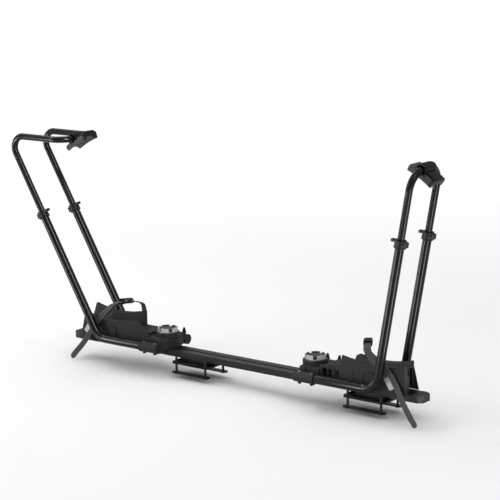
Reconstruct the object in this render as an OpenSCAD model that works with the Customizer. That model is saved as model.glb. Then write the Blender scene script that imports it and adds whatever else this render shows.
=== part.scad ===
// Roof bike carrier: two sliding wheel cradles on one rail, each with a ratchet hoop that holds the tyre.
// Millimetres, +Z up, +X towards the front wheel. The origin is on the rail's underside, at mid length.

/* [Rail] */
// Length of the extruded rail without its end caps
rail_l = 1344; // [1200:2:1500]
// Width of the rail
rail_w = 62; // [58:1:72]
// Height of the rail
rail_h = 21; // [21:0.5:28]
// Thickness of the rail's outer walls and slot lips
rail_wall = 2.4; // [2:0.1:3]
// Width of the mouth of the slot in the rail's top
top_slot_w = 9; // [8.6:0.2:11]
// Inner width of the slot in the rail's top
top_slot_in_w = 22; // [20:1:24]
// Inner height of the slot in the rail's top
top_slot_in_h = 8.6; // [8.4:0.1:9.4]
// Width of the mouth of each slot in the rail's underside
base_slot_w = 7; // [6.6:0.2:8]
// Inner width of each slot in the rail's underside
base_slot_in_w = 14; // [12.8:0.2:16]
// Inner height of each slot in the rail's underside
base_slot_in_h = 6; // [5.5:0.1:6.4]
// Distance from the rail's middle to each underside slot
base_slot_y = 20; // [19:0.5:21]
// Length of a rail end cap
cap_l = 33; // [24:1:40]
// Length of the slanted corners of an end cap
cap_nose = 15; // [8:1:20]

/* [Roof bar clamps] */
// Place of the front clamp along the rail
front_clamp_x = 513; // [480:1:530]
// Place of the rear clamp along the rail
rear_clamp_x = -166; // [-220:1:-120]
// Distance from a clamp bolt to the end of its plate
plate_end = 14.5; // [12:0.5:18]
// Distance from a clamp bolt to the side of its plate
plate_edge = 9.5; // [9.4:0.1:12]
// Thickness of a clamp plate
plate_t = 3; // [2.5:0.5:4]
// Height of the turned-up rim of a clamp plate above its bottom
plate_rim_h = 7; // [5:0.5:9]
// Height of the block between a clamp plate and the rail
block_h = 13; // [12:0.5:16]
// Thickness of the rubber pad under a clamp plate
pad_t = 3; // [3:0.5:5]
// Distance between the clamp bolts along the rail
bolt_dx = 121; // [118:1:126]
// Distance between the clamp bolts across the rail
bolt_dy = 94; // [92:1:97]
// Diameter of a clamp bolt
bolt_d = 8; // [6:0.5:8]
// Height of the free space for a roof bar
bar_gap = 25; // [20:1:34]
// Thickness of a lower clamp bar
jaw_t = 4; // [3:0.5:6]
// Width of a lower clamp bar
jaw_w = 22; // [18:1:24]
// Distance from a clamp bolt to the end of a lower clamp bar
jaw_end = 17; // [13:0.5:21]
// Length of clamp bolt above its plate
bolt_stand = 18; // [14:1:24]

/* [Cradle bracket] */
// Distance from the rail's middle to each knob axis
knob_x = 300; // [298:1:302]
// Distance from the rail's middle to the inner face of a bracket
bracket_x0 = 276; // [270:1:284]
// Distance from the rail's middle to the outer end of the tube sleeves
bracket_x1 = 352; // [351:1:356]
// Outer diameter of a tube sleeve
sleeve_d = 34; // [33:0.5:36]
// Height of the bracket's body
bracket_top = 58; // [54:1:60]
// Height of the round deck under the knob
deck_top = 70; // [66:1:72]
// Diameter of the round deck under the knob
deck_d = 80; // [76:1:88]
// Depth of the skirts that guide a bracket on the rail
skirt_drop = 12; // [8:1:13]
// Thickness of those skirts
skirt_t = 5; // [4:0.5:7]
// Diameter of a sleeve bolt
sleeve_bolt_d = 6; // [5:0.5:6]
// Distance between the two bolts of a sleeve
sleeve_bolt_dx = 45; // [42:1:48]
// Height of a thumb nut
thumb_h = 18; // [14:1:22]

/* [Knob] */
// Diameter of the knob's grip ring
knob_d = 66; // [60:1:70]
// Height of the knob
knob_h = 17; // [14:1:20]
// Wall of the grip ring
knob_wall = 8; // [6:0.5:10]
// Number of grip notches in the ring
grip_notches = 5; // [4:1:7]
// Width of a grip notch
grip_notch_w = 12; // [8:0.5:16]
// Diameter of the knob's threaded spindle
spindle_d = 8; // [6:0.5:8]

/* [Wheel tray] */
// Distance from the rail's middle to the outer end of the tray's long wall
tray_x1 = 660; // [652:1:665]
// Distance from the rail's middle to the inner end of the high part of the tray
tray_wall_x0 = 434; // [426:1:440]
// How much further in the tray's outer end lies on its chamfered side
tray_end_skew = 32; // [20:1:36]
// Distance from the rail's middle to the inner end of the chamfered wall
tray_fin_x0 = 341; // [340:0.5:344]
// Outer width of the tray
tray_w = 104; // [100:1:108]
// Height of the tray walls at their ends
tray_top = 114; // [108:1:118]
// How far the top edge of the walls dips at mid length
tray_dip = 16; // [10:0.5:20]
// How much lower the top edge of the chamfered wall lies
side_drop = 10; // [4:0.5:12]
// Height of the low shelf at the tray's inner end
shelf_top = 66; // [62:1:68]
// Thickness of the tray's walls
tray_wall = 3.6; // [3:0.1:4.2]
// Half width of the tyre channel at its top
vee_top_hw = 44; // [40:0.5:45]
// Half width of the tyre channel at its floor
vee_floor_hw = 9; // [6:0.5:12]
// Height of the floor of the tyre channel
vee_floor_z = 68; // [64:0.5:72]

/* [Hoop tubes] */
// Distance from the middle to each leg of a hoop
leg_y = 77; // [77:0.5:80]
// Height of the lower tubes' axis above the rail's underside
tube_z = 31; // [30:0.5:34]
// Outer diameter of a lower tube
low_d = 28; // [27:0.5:29]
// Wall of a lower tube
low_wall = 2; // [1.5:0.1:2.2]
// Bend radius of a lower tube
low_bend_r = 60; // [50:1:70]
// Length of a lower leg from its corner to its top
leg_l = 466; // [440:1:490]
// Distance from the rail's middle to the corner of the front lower tubes
front_corner_x = 574; // [560:1:590]
// Outward lean of the front hoop
front_lean = 10.4; // [5:0.1:14]
// Distance from the rail's middle to the corner of the rear lower tubes
rear_corner_x = 542; // [530:1:556]
// Outward lean of the rear hoop
rear_lean = 30.5; // [26:0.1:34]
// Outer diameter of an upper hoop tube
up_d = 22; // [21:0.2:22.6]
// Wall of an upper hoop tube
up_wall = 3; // [2.8:0.1:4]
// Length of upper hoop tube inside the lower tube
insert_l = 220; // [200:1:240]
// Pitch of the ratchet notches
notch_pitch = 8; // [6:0.5:10]
// Depth of the ratchet notches
notch_depth = 1.6; // [1:0.1:1.8]
// Distance along the front leg from its corner to the axis of the cross tube
front_top_s = 685; // [660:1:710]
// Bend radius of the front hoop's top
front_bend_r = 58; // [50:1:60]
// Height of the rear hoop's top run above the rail's underside
rear_run_z = 695; // [670:1:720]
// Bend radius between the rear leg and its top run
rear_bend_r = 40; // [34:1:46]
// Distance from the rail's middle to the rear hoop's cross tube
rear_cross_x = 676; // [668:1:690]
// Bend radius between the rear hoop's top run and its cross tube
rear_cross_r = 50; // [44:1:54]

/* [Collars] */
// Height of a leg collar
collar_h = 24; // [22:0.5:28]
// Outer diameter of a leg collar
collar_d = 36; // [35:0.5:38]
// Thickness of a release plate
release_t = 5; // [4:0.5:6]
// Travel of a release plate
release_travel = 3; // [2:0.5:3]
// How far a release tab stands out of its collar
tab_l = 9; // [6:0.5:10]

/* [Saddles] */
// Radius of the tyre that a saddle is shaped to
tyre_r = 330; // [310:1:345]
// Tilt of a saddle from upright, outwards
saddle_tilt = 30; // [26:0.5:34]
// Length of a saddle's pad from the cross tube to the cap's lip
saddle_long = 47; // [43:1:52]
// Length of a saddle's pad from the cross tube to its free end
saddle_short = 40; // [36:1:45]
// Width of a saddle
saddle_w = 66; // [62:1:70]
// Width between the saddle's flanks
saddle_in_w = 50; // [46:1:54]
// Distance from the tyre's crown to the cross tube's axis
saddle_lift = 16; // [15.5:0.5:19]
// Depth of the flanks below the tyre's crown
flank_h = 9; // [7:0.5:12]

/* [Straps] */
// Width of a strap
strap_w = 20; // [16:1:22]
// Thickness of a strap
strap_t = 2.6; // [2:0.1:3]
// Length of a buckle
buckle_l = 54; // [48:1:58]
// Width of a buckle
buckle_w = 27; // [25:0.5:30]
// Height of a buckle's side cheeks
buckle_h = 13; // [12.5:0.5:15]
// Diameter of a buckle pin
buckle_pin_d = 4; // [3:0.5:4.5]
// Length of a grey reflective patch
patch_l = 42; // [30:1:46]

/* [Hidden] */
$fn = 72;

// Clearances, how far a cut runs past a face, and how far a tube's straights tuck into its bends
slip = 0.3;
run_fit = 0.05;
bolt_fit = 0.15;
cut = 1;
tuck = 1;
bend_swell = 0.05;

// Rail
rail_end = rail_l / 2;
rail_mid = rail_h / 2;
groove_r = 2;
cap_slant = 0.87;

// Clamps, from the rail's underside down
plate_top_z = -block_h;
plate_z = plate_top_z - plate_t;
pad_z = plate_z - pad_t;
jaw_top_z = pad_z - bar_gap;
jaw_z = jaw_top_z - jaw_t;
plate_l = bolt_dx + 2 * plate_end;
plate_w = bolt_dy + 2 * plate_edge;
jaw_l = bolt_dx + 2 * jaw_end;
bolt_r = bolt_d / 2;
bolt_head_t = 2.6;
bolt_head_r = bolt_r + 4;
nut_t = 6.5;
nut_r = bolt_r + 3.2;
block_l = 112;
block_w = 52;
pad_l = 104;
pad_w = 92;
rim_t = 2.5;
corner_r = 10;
block_corner_r = 5;
t_bolt_r = 3;
t_bolt_dx = 70;
t_head_t = 4;
t_head_w = 12;
t_nut_r = 5.6;
pad_hole_r = t_nut_r + 1;
t_nut_t = 2.4;
t_nut_z = plate_z - t_nut_t;

// Bracket
seat_z = rail_h + slip;
sleeve_r = sleeve_d / 2;
low_r = low_d / 2;
sleeve_mid_x = knob_x + 16;
body_hw = 58;
body_x0 = bracket_x0 + 4;
tube_x0 = body_x0 + 1;
fin_relief_x = tray_fin_x0 - 4;
fin_relief_y = tray_w / 2 - 8;
web_h = 14;
bracket_round = 9;
nose_bulge = 12;
nose_r = 107;
nose_l = 40;
nose_hw = body_hw + 5;
sleeve_bolt_r = sleeve_bolt_d / 2;
sleeve_head_r = sleeve_bolt_r + 2.7;
sleeve_head_t = 2.6;
bolt_seat_r = sleeve_head_r + slip;
bolt_seat_s = sleeve_r - 3;
bolt_past = 6;
sleeve_nut_t = 5;
sleeve_nut_r = sleeve_bolt_r + 3;
thumb_w = 16;
thumb_tip_w = 5;
thumb_t = 4;
thumb_base_r = sleeve_bolt_r + 2.5;
thumb_base_h = 5;

// Knob
knob_z = deck_top + slip;
knob_r = knob_d / 2;
flange_r = knob_r + 4;
flange_t = 3;
knob_dish = 6;
knob_floor = 3;
grip_foot = 1.5;
grip_start = [15, 2];
spindle_r = spindle_d / 2;
spindle_depth = knob_h - knob_dish - knob_floor;
shoe_t = 5.4;
shoe_l = 60;
shoe_w = top_slot_in_w - 2;
shoe_top_z = rail_h - rail_wall - slip;
spindle_past = 0.5;
spindle_z0 = shoe_top_z - shoe_t - spindle_past;

// Tray
tray_hw = tray_w / 2;
tray_x0 = bracket_x1 + slip;
tray_fin_top = tray_top - 7;
tray_fin_chamfer = 42;
tray_fin_low = tray_top - 34;
tray_lip_low = tray_fin_low - 7;
rib_y = 23;
rib_out_y = rib_y + 4;
vee_slope = (tray_top - vee_floor_z) / (vee_top_hw - vee_floor_hw);
vee_drop = tray_wall * sqrt(1 + vee_slope * vee_slope);
dip_z = tray_top - tray_dip;
hollow_z = [dip_z - side_drop - tray_wall, dip_z - tray_wall];
hollow_y = [for (z = hollow_z) max(rib_out_y, vee_floor_hw + (z + vee_drop - vee_floor_z) / vee_slope)];
dip_r = (pow((tray_x1 - tray_wall_x0) / 2, 2) + tray_dip * tray_dip) / (2 * tray_dip);
end_slice_l = 100;
end_in = 40;
end_slice_x = tray_x1 - tray_end_skew - end_in;
end_flare = 18;
end_flare_foot = rail_h - 5;
end_flare_top = 88;
wall_rib_t = 1.2;
wall_rib_w = 2.4;
wall_rib_z = seat_z + 6;
wall_rib_h = 44;
rib_from_wall = 40;
rib_from_end = 74;
wall_rib_x = [tray_wall_x0 + rib_from_wall, tray_x1 - rib_from_end];
boss_x = 532;
boss_shift = 24;
boss_z = 55;
boss_r = 24;
boss_t = 4;
boss_ring = 5;
panel_low = shelf_top + 6;
panel_high = shelf_top + 18;
window_foot = 38;
window_bar = 5;
long_window = [tray_x0 + 9, tray_x0 + 47];
short_window = [tray_wall_x0 - 28, tray_wall_x0 - 10];
strip_x = tray_x0 + 21;
strip_w = 6;
strip_in = 9;
seat_pad_h = 26;

// Hoops
low_in_r = low_r - low_wall;
up_r = up_d / 2;
up_in_r = up_r - up_wall;
up_bottom_s = leg_l - insert_l;
collar_r = collar_d / 2;
collar_s0 = leg_l - collar_h / 2;
plate_s0 = leg_l + 3;
plate_s1 = plate_s0 + release_t;
release_r = collar_r - 3.2;
release_in = up_r + 2.5;
lug_l = 9;
lug_in = 3;
lug_w = 16;
lug_h = 16;
lug_s = leg_l - lug_h / 2 + 2;
tab_w = 14;
tab_h = 8;
notch_margin = 12;
notch_share = 0.45;
notch_land = 0.5;

// Saddles
axis_r = tyre_r + saddle_lift;
pad_in_r = tyre_r + 1;
pad_out_r = tyre_r + 11;
flank_r = tyre_r - flank_h;
saddle_bevel = 7;
saddle_edge = 3;
pad_round = [5, 3, 12];
foot_hl = 19;
foot_hw = saddle_w / 2 - saddle_bevel - 1;
foot_h = 6;
hub_r = up_r + 6;
bearing_hw = 15;
relief_r = up_r + 3;
lip_start = saddle_long + slip;
lip_end = lip_start + 9;
apron_l = lip_end - 1;
apron_t = 8;
lip_top = pad_out_r + apron_t - 1;
cheek_out = saddle_w / 2 - 1.3;
cheek_h = 10;
cheek_slot = relief_r - 0.5;
cap_rib_t = 3;
cap_rib_h = 1.8;
cap_rib_pitch = 8;
cap_rib_n = 4;

// Straps: heights and places along the rail are chosen by hand, and the layers follow the tray's width
y_in = tray_hw + wall_rib_t + slip + strap_t / 2;
patch_t = 0.8;
y_out = y_in + strap_t + patch_t + 3 * slip;
buckle_base_t = 1.6;
cheek_t = 2.5;
cheek_l = 34;
buckle_axis_z = buckle_h - 3.5;
pin_hole_r = buckle_pin_d / 2 + run_fit;
lever_hub_r = buckle_pin_d / 2 + 1.6;
lever_t = 3.5;
strap_z = buckle_base_t + slip + strap_t / 2;
under_z = -slip - strap_t / 2;
strap_sag = 1.5;

FRONT = 0;
REAR = 1;
corner_x = [front_corner_x, rear_corner_x];
lean = [front_lean, rear_lean];

// Frames

// An end of the rail: x runs outwards from the rail's middle. The rear end is the front one turned about Z.
module at_end(e) rotate([0, 0, e == REAR ? 180 : 0]) children();

// Sign of y, in an end's own frame, of the side that faces the near side of the carrier
function near_sign(e) = e == REAR ? 1 : -1;

// A hoop leg's frame: z runs up the leg from the lower tube's corner
module at_leg(e, sy) translate([corner_x[e], sy * leg_y, tube_z]) rotate([0, lean[e], 0]) children();

// The places of a clamp's four bolts
module at_clamp_bolts(cx) {
    for (sx = [-1, 1], sy = [-1, 1]) {
        translate([cx + sx * bolt_dx / 2, sy * bolt_dy / 2, 0]) children();
    }
}

// Tubes are chains of straight and bent pieces that start along +Z and bend towards +X. A bend is a hair
// thicker than the straights, which tuck into it.
module bend(big_r, angle, r) {
    translate([big_r, 0, 0])
        rotate([90, 0, 180])
            rotate_extrude(angle = angle)
                translate([big_r, 0])
                    circle(r + bend_swell);
}

module straight(l, r, before, after) translate([0, 0, -before]) cylinder(r = r, h = l + before + after);

module after_bend(big_r, angle) {
    translate([big_r * (1 - cos(angle)), 0, big_r * sin(angle)])
        rotate([0, angle, 0])
            children();
}

module after_straight(l) translate([0, 0, l]) children();

// Plain shapes

module box(x0, x1, y0, y1, z0, z1) translate([x0, y0, z0]) cube([x1 - x0, y1 - y0, z1 - z0]);

module rounded_plate(l, w, r) {
    union() {
        square([l - 2 * r, w], center = true);
        square([l, w - 2 * r], center = true);
        for (sx = [-1, 1], sy = [-1, 1]) translate([sx * (l / 2 - r), sy * (w / 2 - r)]) circle(r);
    }
}

// A hole with its bottom at z through a thickness h
module hole(r, z, h) translate([0, 0, z - cut]) cylinder(r = r, h = h + 2 * cut);

module slot_plate(l, w) {
    square([l - w, w], center = true);
    for (sx = [-1, 1]) translate([sx * (l - w) / 2, 0]) circle(w / 2);
}

// Rail: an extrusion with one slot on top for the cradles and two underneath for the roof bar clamps

module rail_section() {
    difference() {
        translate([-rail_w / 2, 0]) square([rail_w, rail_h]);
        translate([-top_slot_w / 2, rail_h - rail_wall - cut]) square([top_slot_w, rail_wall + 2 * cut]);
        translate([-top_slot_in_w / 2, rail_h - rail_wall - top_slot_in_h])
            square([top_slot_in_w, top_slot_in_h]);
        for (s = [-1, 1]) {
            translate([s * base_slot_y - base_slot_w / 2, -cut]) square([base_slot_w, rail_wall + 2 * cut]);
            translate([s * base_slot_y - base_slot_in_w / 2, rail_wall])
                square([base_slot_in_w, base_slot_in_h]);
            translate([s * (rail_w / 2), rail_mid - groove_r]) circle(groove_r, $fn = 24);
            translate([s * (rail_w / 2), rail_mid + groove_r * 2]) circle(groove_r / 2, $fn = 24);
            translate([s * base_slot_y - base_slot_in_w / 2, rail_wall * 2 + base_slot_in_h])
                square([base_slot_in_w, rail_h - rail_wall * 3 - base_slot_in_h]);
        }
    }
}

module rail() {
    color("#2a2a2b")
        rotate([90, 0, 90])
            translate([0, 0, -rail_end])
                linear_extrude(rail_l)
                    rail_section();
}

module end_cap(e) {
    tip = rail_end + cap_l;
    nose_w = rail_w / 2 - cap_nose * cap_slant;
    color("#222222")
        at_end(e)
            linear_extrude(rail_h)
                polygon([
                    [rail_end, -rail_w / 2], [tip - cap_nose, -rail_w / 2], [tip, -nose_w],
                    [tip, nose_w], [tip - cap_nose, rail_w / 2], [rail_end, rail_w / 2]
                ]);
}

// Roof bar clamps

module clamp_plate(cx) {
    color("#111111")
        difference() {
            translate([cx, 0, plate_z]) {
                linear_extrude(plate_t) rounded_plate(plate_l, plate_w, corner_r);
                linear_extrude(plate_rim_h)
                    difference() {
                        rounded_plate(plate_l, plate_w, corner_r);
                        rounded_plate(plate_l - 2 * rim_t, plate_w - 2 * rim_t, corner_r - rim_t);
                    }
            }
            at_clamp_bolts(cx) hole(bolt_r + slip, plate_z, plate_t);
            at_t_bolts(cx) hole(t_bolt_r + slip, plate_z, plate_t);
        }
}

module at_t_bolts(cx) {
    for (sx = [-1, 1], sy = [-1, 1]) {
        translate([cx + sx * t_bolt_dx / 2, sy * base_slot_y, 0]) children();
    }
}

module seat_block(cx) {
    color("#1c1c1c")
        difference() {
            translate([cx, 0, plate_top_z])
                linear_extrude(block_h)
                    rounded_plate(block_l, block_w, block_corner_r);
            at_t_bolts(cx) hole(t_bolt_r + slip, plate_top_z, block_h);
        }
}

module seat_pad(cx) {
    color("#181818")
        difference() {
            translate([cx, 0, pad_z]) linear_extrude(pad_t) rounded_plate(pad_l, pad_w, corner_r);
            at_t_bolts(cx) hole(pad_hole_r, pad_z, pad_t);
        }
}

module clamp_nuts() {
    color("#151515")
        for (cx = [front_clamp_x, rear_clamp_x]) {
            at_clamp_bolts(cx)
                translate([0, 0, plate_top_z])
                    difference() {
                        cylinder(r = nut_r, h = nut_t, $fn = 6);
                        hole(bolt_r + slip, 0, nut_t);
                    }
        }
}

module rail_t_bolts() {
    color("#555555")
        for (cx = [front_clamp_x, rear_clamp_x]) {
            at_t_bolts(cx) {
                translate([0, 0, t_nut_z]) cylinder(r = t_bolt_r, h = rail_wall - t_nut_z + cut);
                translate([-t_head_w / 2, -t_head_w / 2, rail_wall]) cube([t_head_w, t_head_w, t_head_t]);
                translate([0, 0, t_nut_z])
                    difference() {
                        cylinder(r = t_nut_r, h = t_nut_t, $fn = 6);
                        hole(t_bolt_r + run_fit, 0, t_nut_t);
                    }
            }
        }
}

module jaw_bars(cx) {
    color("#111111")
        for (sy = [-1, 1]) {
            translate([cx, sy * bolt_dy / 2, jaw_z])
                linear_extrude(jaw_t)
                    difference() {
                        slot_plate(jaw_l, jaw_w);
                        for (sx = [-1, 1]) translate([sx * bolt_dx / 2, 0]) circle(bolt_r + bolt_fit);
                    }
        }
}

module jaw_bolts(cx) {
    color("#151515")
        at_clamp_bolts(cx) {
            translate([0, 0, jaw_z - bolt_head_t]) cylinder(r = bolt_head_r, h = bolt_head_t);
            translate([0, 0, jaw_z]) cylinder(r = bolt_r, h = plate_top_z + bolt_stand - jaw_z);
        }
}

// Cradle bracket: straddles the rail, holds both lower tubes in sleeves and carries the knob

module at_sleeve_bolts(sy) {
    for (s = [-1, 1]) translate([sleeve_mid_x + s * sleeve_bolt_dx / 2, sy * leg_y, tube_z]) children();
}

module nose_profile() {
    translate([0, seat_z]) square([nose_r - bracket_round, bracket_top - seat_z]);
    translate([0, seat_z]) square([nose_r, bracket_top - seat_z - bracket_round]);
    translate([nose_r - bracket_round, bracket_top - bracket_round]) circle(bracket_round);
}

// Bulging nose between the sleeves, cut from a turned disc with a rounded edge
module nose() {
    nose_x0 = bracket_x0 - nose_bulge;
    intersection() {
        translate([nose_x0 + nose_r, 0, 0]) rotate_extrude($fn = 180) nose_profile();
        box(nose_x0 - cut, nose_x0 + nose_l, -nose_hw, nose_hw, seat_z - cut, bracket_top + cut);
    }
}

// One side of a bracket: its skirt beside the rail, and its sleeve on a web
module bracket_side() {
    skirt_y = rail_w / 2 + slip;
    box(body_x0, bracket_x1, skirt_y, skirt_y + skirt_t, rail_h - skirt_drop, seat_z + cut);
    box(body_x0, fin_relief_x, body_hw - cut, leg_y, tube_z - web_h / 2, tube_z + web_h / 2);
    translate([bracket_x0 + cut, leg_y, tube_z])
        rotate([0, 90, 0])
            cylinder(r = sleeve_r, h = bracket_x1 - bracket_x0 - cut);
}

module bracket(e) {
    far = -near_sign(e);
    color("#333333")
        at_end(e)
            difference() {
                union() {
                    nose();
                    box(body_x0, fin_relief_x, -body_hw, body_hw, seat_z, bracket_top);
                    box(fin_relief_x - cut, bracket_x1, -body_hw, fin_relief_y, seat_z, bracket_top);
                    translate([knob_x, 0, bracket_top - cut])
                        cylinder(d = deck_d, h = deck_top - bracket_top + cut);
                    bracket_side();
                    mirror([0, 1, 0]) bracket_side();
                }
                box(0, bracket_x1 + cut, -rail_w / 2 - slip, rail_w / 2 + slip, -cut, seat_z);
                translate([knob_x, 0, 0]) cylinder(r = spindle_r + run_fit, h = deck_top + cut);
                for (sy = [-1, 1]) {
                    translate([body_x0, sy * leg_y, tube_z])
                        rotate([0, 90, 0])
                            cylinder(r = low_r + run_fit, h = bracket_x1);
                    at_sleeve_bolts(sy)
                        rotate([sy == far ? 180 : 0, 0, 0]) {
                            hole(sleeve_bolt_r + bolt_fit, -sleeve_r, sleeve_d);
                            translate([0, 0, bolt_seat_s]) cylinder(r = bolt_seat_r, h = sleeve_r);
                        }
                }
            }
}

// The bolts go down through the near sleeve into nuts, and up through the far sleeve into thumb nuts
module sleeve_bolts(e) {
    far = -near_sign(e);
    color("#444444")
        at_end(e)
            for (sy = [-1, 1]) {
                at_sleeve_bolts(sy)
                    rotate([sy == far ? 180 : 0, 0, 0]) {
                        translate([0, 0, bolt_seat_s]) cylinder(r = sleeve_head_r, h = sleeve_head_t);
                        translate([0, 0, -sleeve_r - bolt_past])
                            cylinder(r = sleeve_bolt_r, h = bolt_seat_s + sleeve_r + bolt_past + cut);
                    }
            }
}

module sleeve_nuts(e) {
    far = -near_sign(e);
    wing_z = thumb_base_h - cut;
    color("#1a1a1a")
        at_end(e) {
            at_sleeve_bolts(-far)
                translate([0, 0, -sleeve_r - sleeve_nut_t])
                    difference() {
                        cylinder(r = sleeve_nut_r, h = sleeve_nut_t, $fn = 6);
                        hole(sleeve_bolt_r + run_fit, 0, sleeve_nut_t);
                    }
            at_sleeve_bolts(far)
                translate([0, 0, sleeve_r])
                    difference() {
                        union() {
                            cylinder(r = thumb_base_r, h = thumb_base_h);
                            rotate([90, 0, 0])
                                translate([0, 0, -thumb_t / 2])
                                    linear_extrude(thumb_t)
                                        polygon([
                                            [-thumb_w / 2, wing_z], [thumb_w / 2, wing_z],
                                            [thumb_tip_w / 2, wing_z + thumb_h],
                                            [-thumb_tip_w / 2, wing_z + thumb_h]
                                        ]);
                        }
                        translate([0, 0, -cut])
                            cylinder(r = sleeve_bolt_r + run_fit, h = bolt_past + slip + cut);
                    }
        }
}

// Knob, its spindle and the shoe that it pulls up against the lips of the rail's top slot

module knob(e) {
    color("#8d8f90")
        at_end(e)
            translate([knob_x, 0, knob_z])
                difference() {
                    union() {
                        cylinder(r = flange_r, h = flange_t);
                        cylinder(r = knob_r, h = knob_h);
                    }
                    translate([0, 0, knob_h - knob_dish])
                        cylinder(r = knob_r - knob_wall, h = knob_dish + cut);
                    for (i = [0 : grip_notches - 1]) {
                        rotate([0, 0, grip_start[e] + i * 360 / grip_notches])
                            box(knob_r - knob_wall - cut, knob_r + cut, -grip_notch_w / 2, grip_notch_w / 2,
                                flange_t + grip_foot, knob_h + cut);
                    }
                    translate([0, 0, -cut]) cylinder(r = spindle_r + run_fit, h = spindle_depth + cut);
                }
}

module spindle(e) {
    color("#9a9a9a")
        at_end(e)
            translate([knob_x, 0, spindle_z0])
                cylinder(r = spindle_r, h = knob_z + spindle_depth - spindle_z0 - slip);
}

module clamp_shoe(e) {
    color("#777777")
        at_end(e)
            translate([knob_x, 0, shoe_top_z - shoe_t])
                difference() {
                    translate([-shoe_l / 2, -shoe_w / 2, 0]) cube([shoe_l, shoe_w, shoe_t]);
                    hole(spindle_r + run_fit, 0, shoe_t);
                }
}

// Wheel tray: a ribbed shell with a tyre channel, one long wall and one chamfered wall

function vee_z(y) = vee_floor_z + (y - vee_floor_hw) * vee_slope;

module tray_outline() {
    polygon([
        [-tray_hw, seat_z], [-tray_hw, tray_top], [-vee_top_hw, tray_top], [-vee_floor_hw, vee_floor_z],
        [vee_floor_hw, vee_floor_z], [vee_top_hw, tray_top], [tray_hw, tray_top], [tray_hw, seat_z]
    ]);
}

module tray_section() {
    difference() {
        tray_outline();
        for (s = [0, 1]) {
            mirror([s, 0])
                translate([hollow_y[s], seat_z - cut])
                    square([tray_hw - tray_wall - hollow_y[s], hollow_z[s] - seat_z + cut]);
        }
        polygon([
            [-rib_y, seat_z - cut], [-rib_y, vee_z(rib_y) - vee_drop],
            [-vee_floor_hw, vee_floor_z - tray_wall], [vee_floor_hw, vee_floor_z - tray_wall],
            [rib_y, vee_z(rib_y) - vee_drop], [rib_y, seat_z - cut]
        ]);
    }
}

// Outline of a side: a high wall with a dip, and a low shelf inwards of it
module side_outline(end_x) {
    translate([tray_wall_x0, 0]) square([end_x - tray_wall_x0, tray_top]);
    translate([tray_x0, 0]) square([tray_wall_x0 - tray_x0 + cut, shelf_top]);
}

module dip_circle(shift, drop) {
    translate([(tray_wall_x0 + tray_x1) / 2 - shift, dip_z - drop + dip_r]) circle(dip_r, $fn = 180);
}

module tray_sides() {
    rotate([90, 0, 0])
        linear_extrude(tray_hw + cut)
            difference() {
                side_outline(tray_x1);
                dip_circle(0, 0);
            }
    translate([0, tray_hw + cut, 0])
        rotate([90, 0, 0])
            linear_extrude(tray_hw + cut)
                difference() {
                    side_outline(tray_x1 - tray_end_skew);
                    dip_circle(tray_end_skew, side_drop);
                }
}

// A plate in the plane of a wall: s is 1 on the chamfered side and -1 on the long side
module wall_plate(s) {
    translate([0, s > 0 ? tray_hw : tray_wall - tray_hw, 0])
        rotate([90, 0, 0])
            linear_extrude(tray_wall)
                children();
}

// The rear tray's near wall runs on inwards with a chamfer
module fin() {
    wall_plate(1)
        difference() {
            polygon([
                [tray_fin_x0, seat_z], [tray_wall_x0 + cut, seat_z], [tray_wall_x0 + cut, tray_fin_top],
                [tray_x0 + tray_fin_chamfer, tray_fin_top], [tray_x0, tray_fin_low],
                [tray_fin_x0, tray_lip_low]
            ]);
            dip_circle(tray_end_skew, side_drop);
        }
}

// The front tray's near side is closed by a panel with two windows, and a strip stands behind the long one
module window_panel() {
    wall_plate(-1)
        difference() {
            polygon([
                [tray_x0, seat_z], [tray_wall_x0 + cut, seat_z], [tray_wall_x0 + cut, panel_high],
                [tray_x0, panel_low]
            ]);
            translate([long_window[0], window_foot])
                square([long_window[1] - long_window[0], panel_low - window_bar - window_foot]);
            translate([short_window[0], window_foot])
                square([short_window[1] - short_window[0], panel_high - 2 * window_bar - window_foot]);
        }
    strip_y = strip_in - tray_hw;
    box(strip_x, strip_x + strip_w, strip_y, strip_y + tray_wall, seat_z, shelf_top - cut);
}

module tray_end_flare() {
    end_x = tray_x1 - tray_end_skew;
    wall_plate(1)
        polygon([
            [end_x - end_in, end_flare_foot], [end_x + end_flare, end_flare_foot],
            [end_x, end_flare_top], [end_x - tray_wall, end_flare_top],
            [end_x - tray_wall, seat_z + tray_wall], [end_x - end_in, seat_z + tray_wall]
        ]);
}

module tray_shell() {
    intersection() {
        rotate([90, 0, 90])
            translate([0, 0, tray_x0])
                linear_extrude(tray_x1 - tray_x0 + cut)
                    tray_section();
        linear_extrude(tray_top + cut)
            polygon([
                [tray_x0 - cut, -tray_hw - cut], [tray_x1, -tray_hw - cut], [tray_x1, -tray_hw],
                [tray_x1 - tray_end_skew, tray_hw], [tray_x1 - tray_end_skew, tray_hw + cut],
                [tray_x0 - cut, tray_hw + cut]
            ]);
    }
}

module tray_end_wall() {
    intersection() {
        rotate([90, 0, 90]) translate([0, 0, end_slice_x]) linear_extrude(end_slice_l) tray_outline();
        linear_extrude(tray_top)
            polygon([
                [tray_x1, -tray_hw], [tray_x1 - tray_end_skew, tray_hw],
                [tray_x1 - tray_end_skew - tray_wall, tray_hw], [tray_x1 - tray_wall, -tray_hw]
            ]);
    }
}

module tray_inner_wall() {
    rotate([90, 0, 90]) translate([0, 0, tray_wall_x0]) linear_extrude(tray_wall) tray_outline();
}

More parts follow.
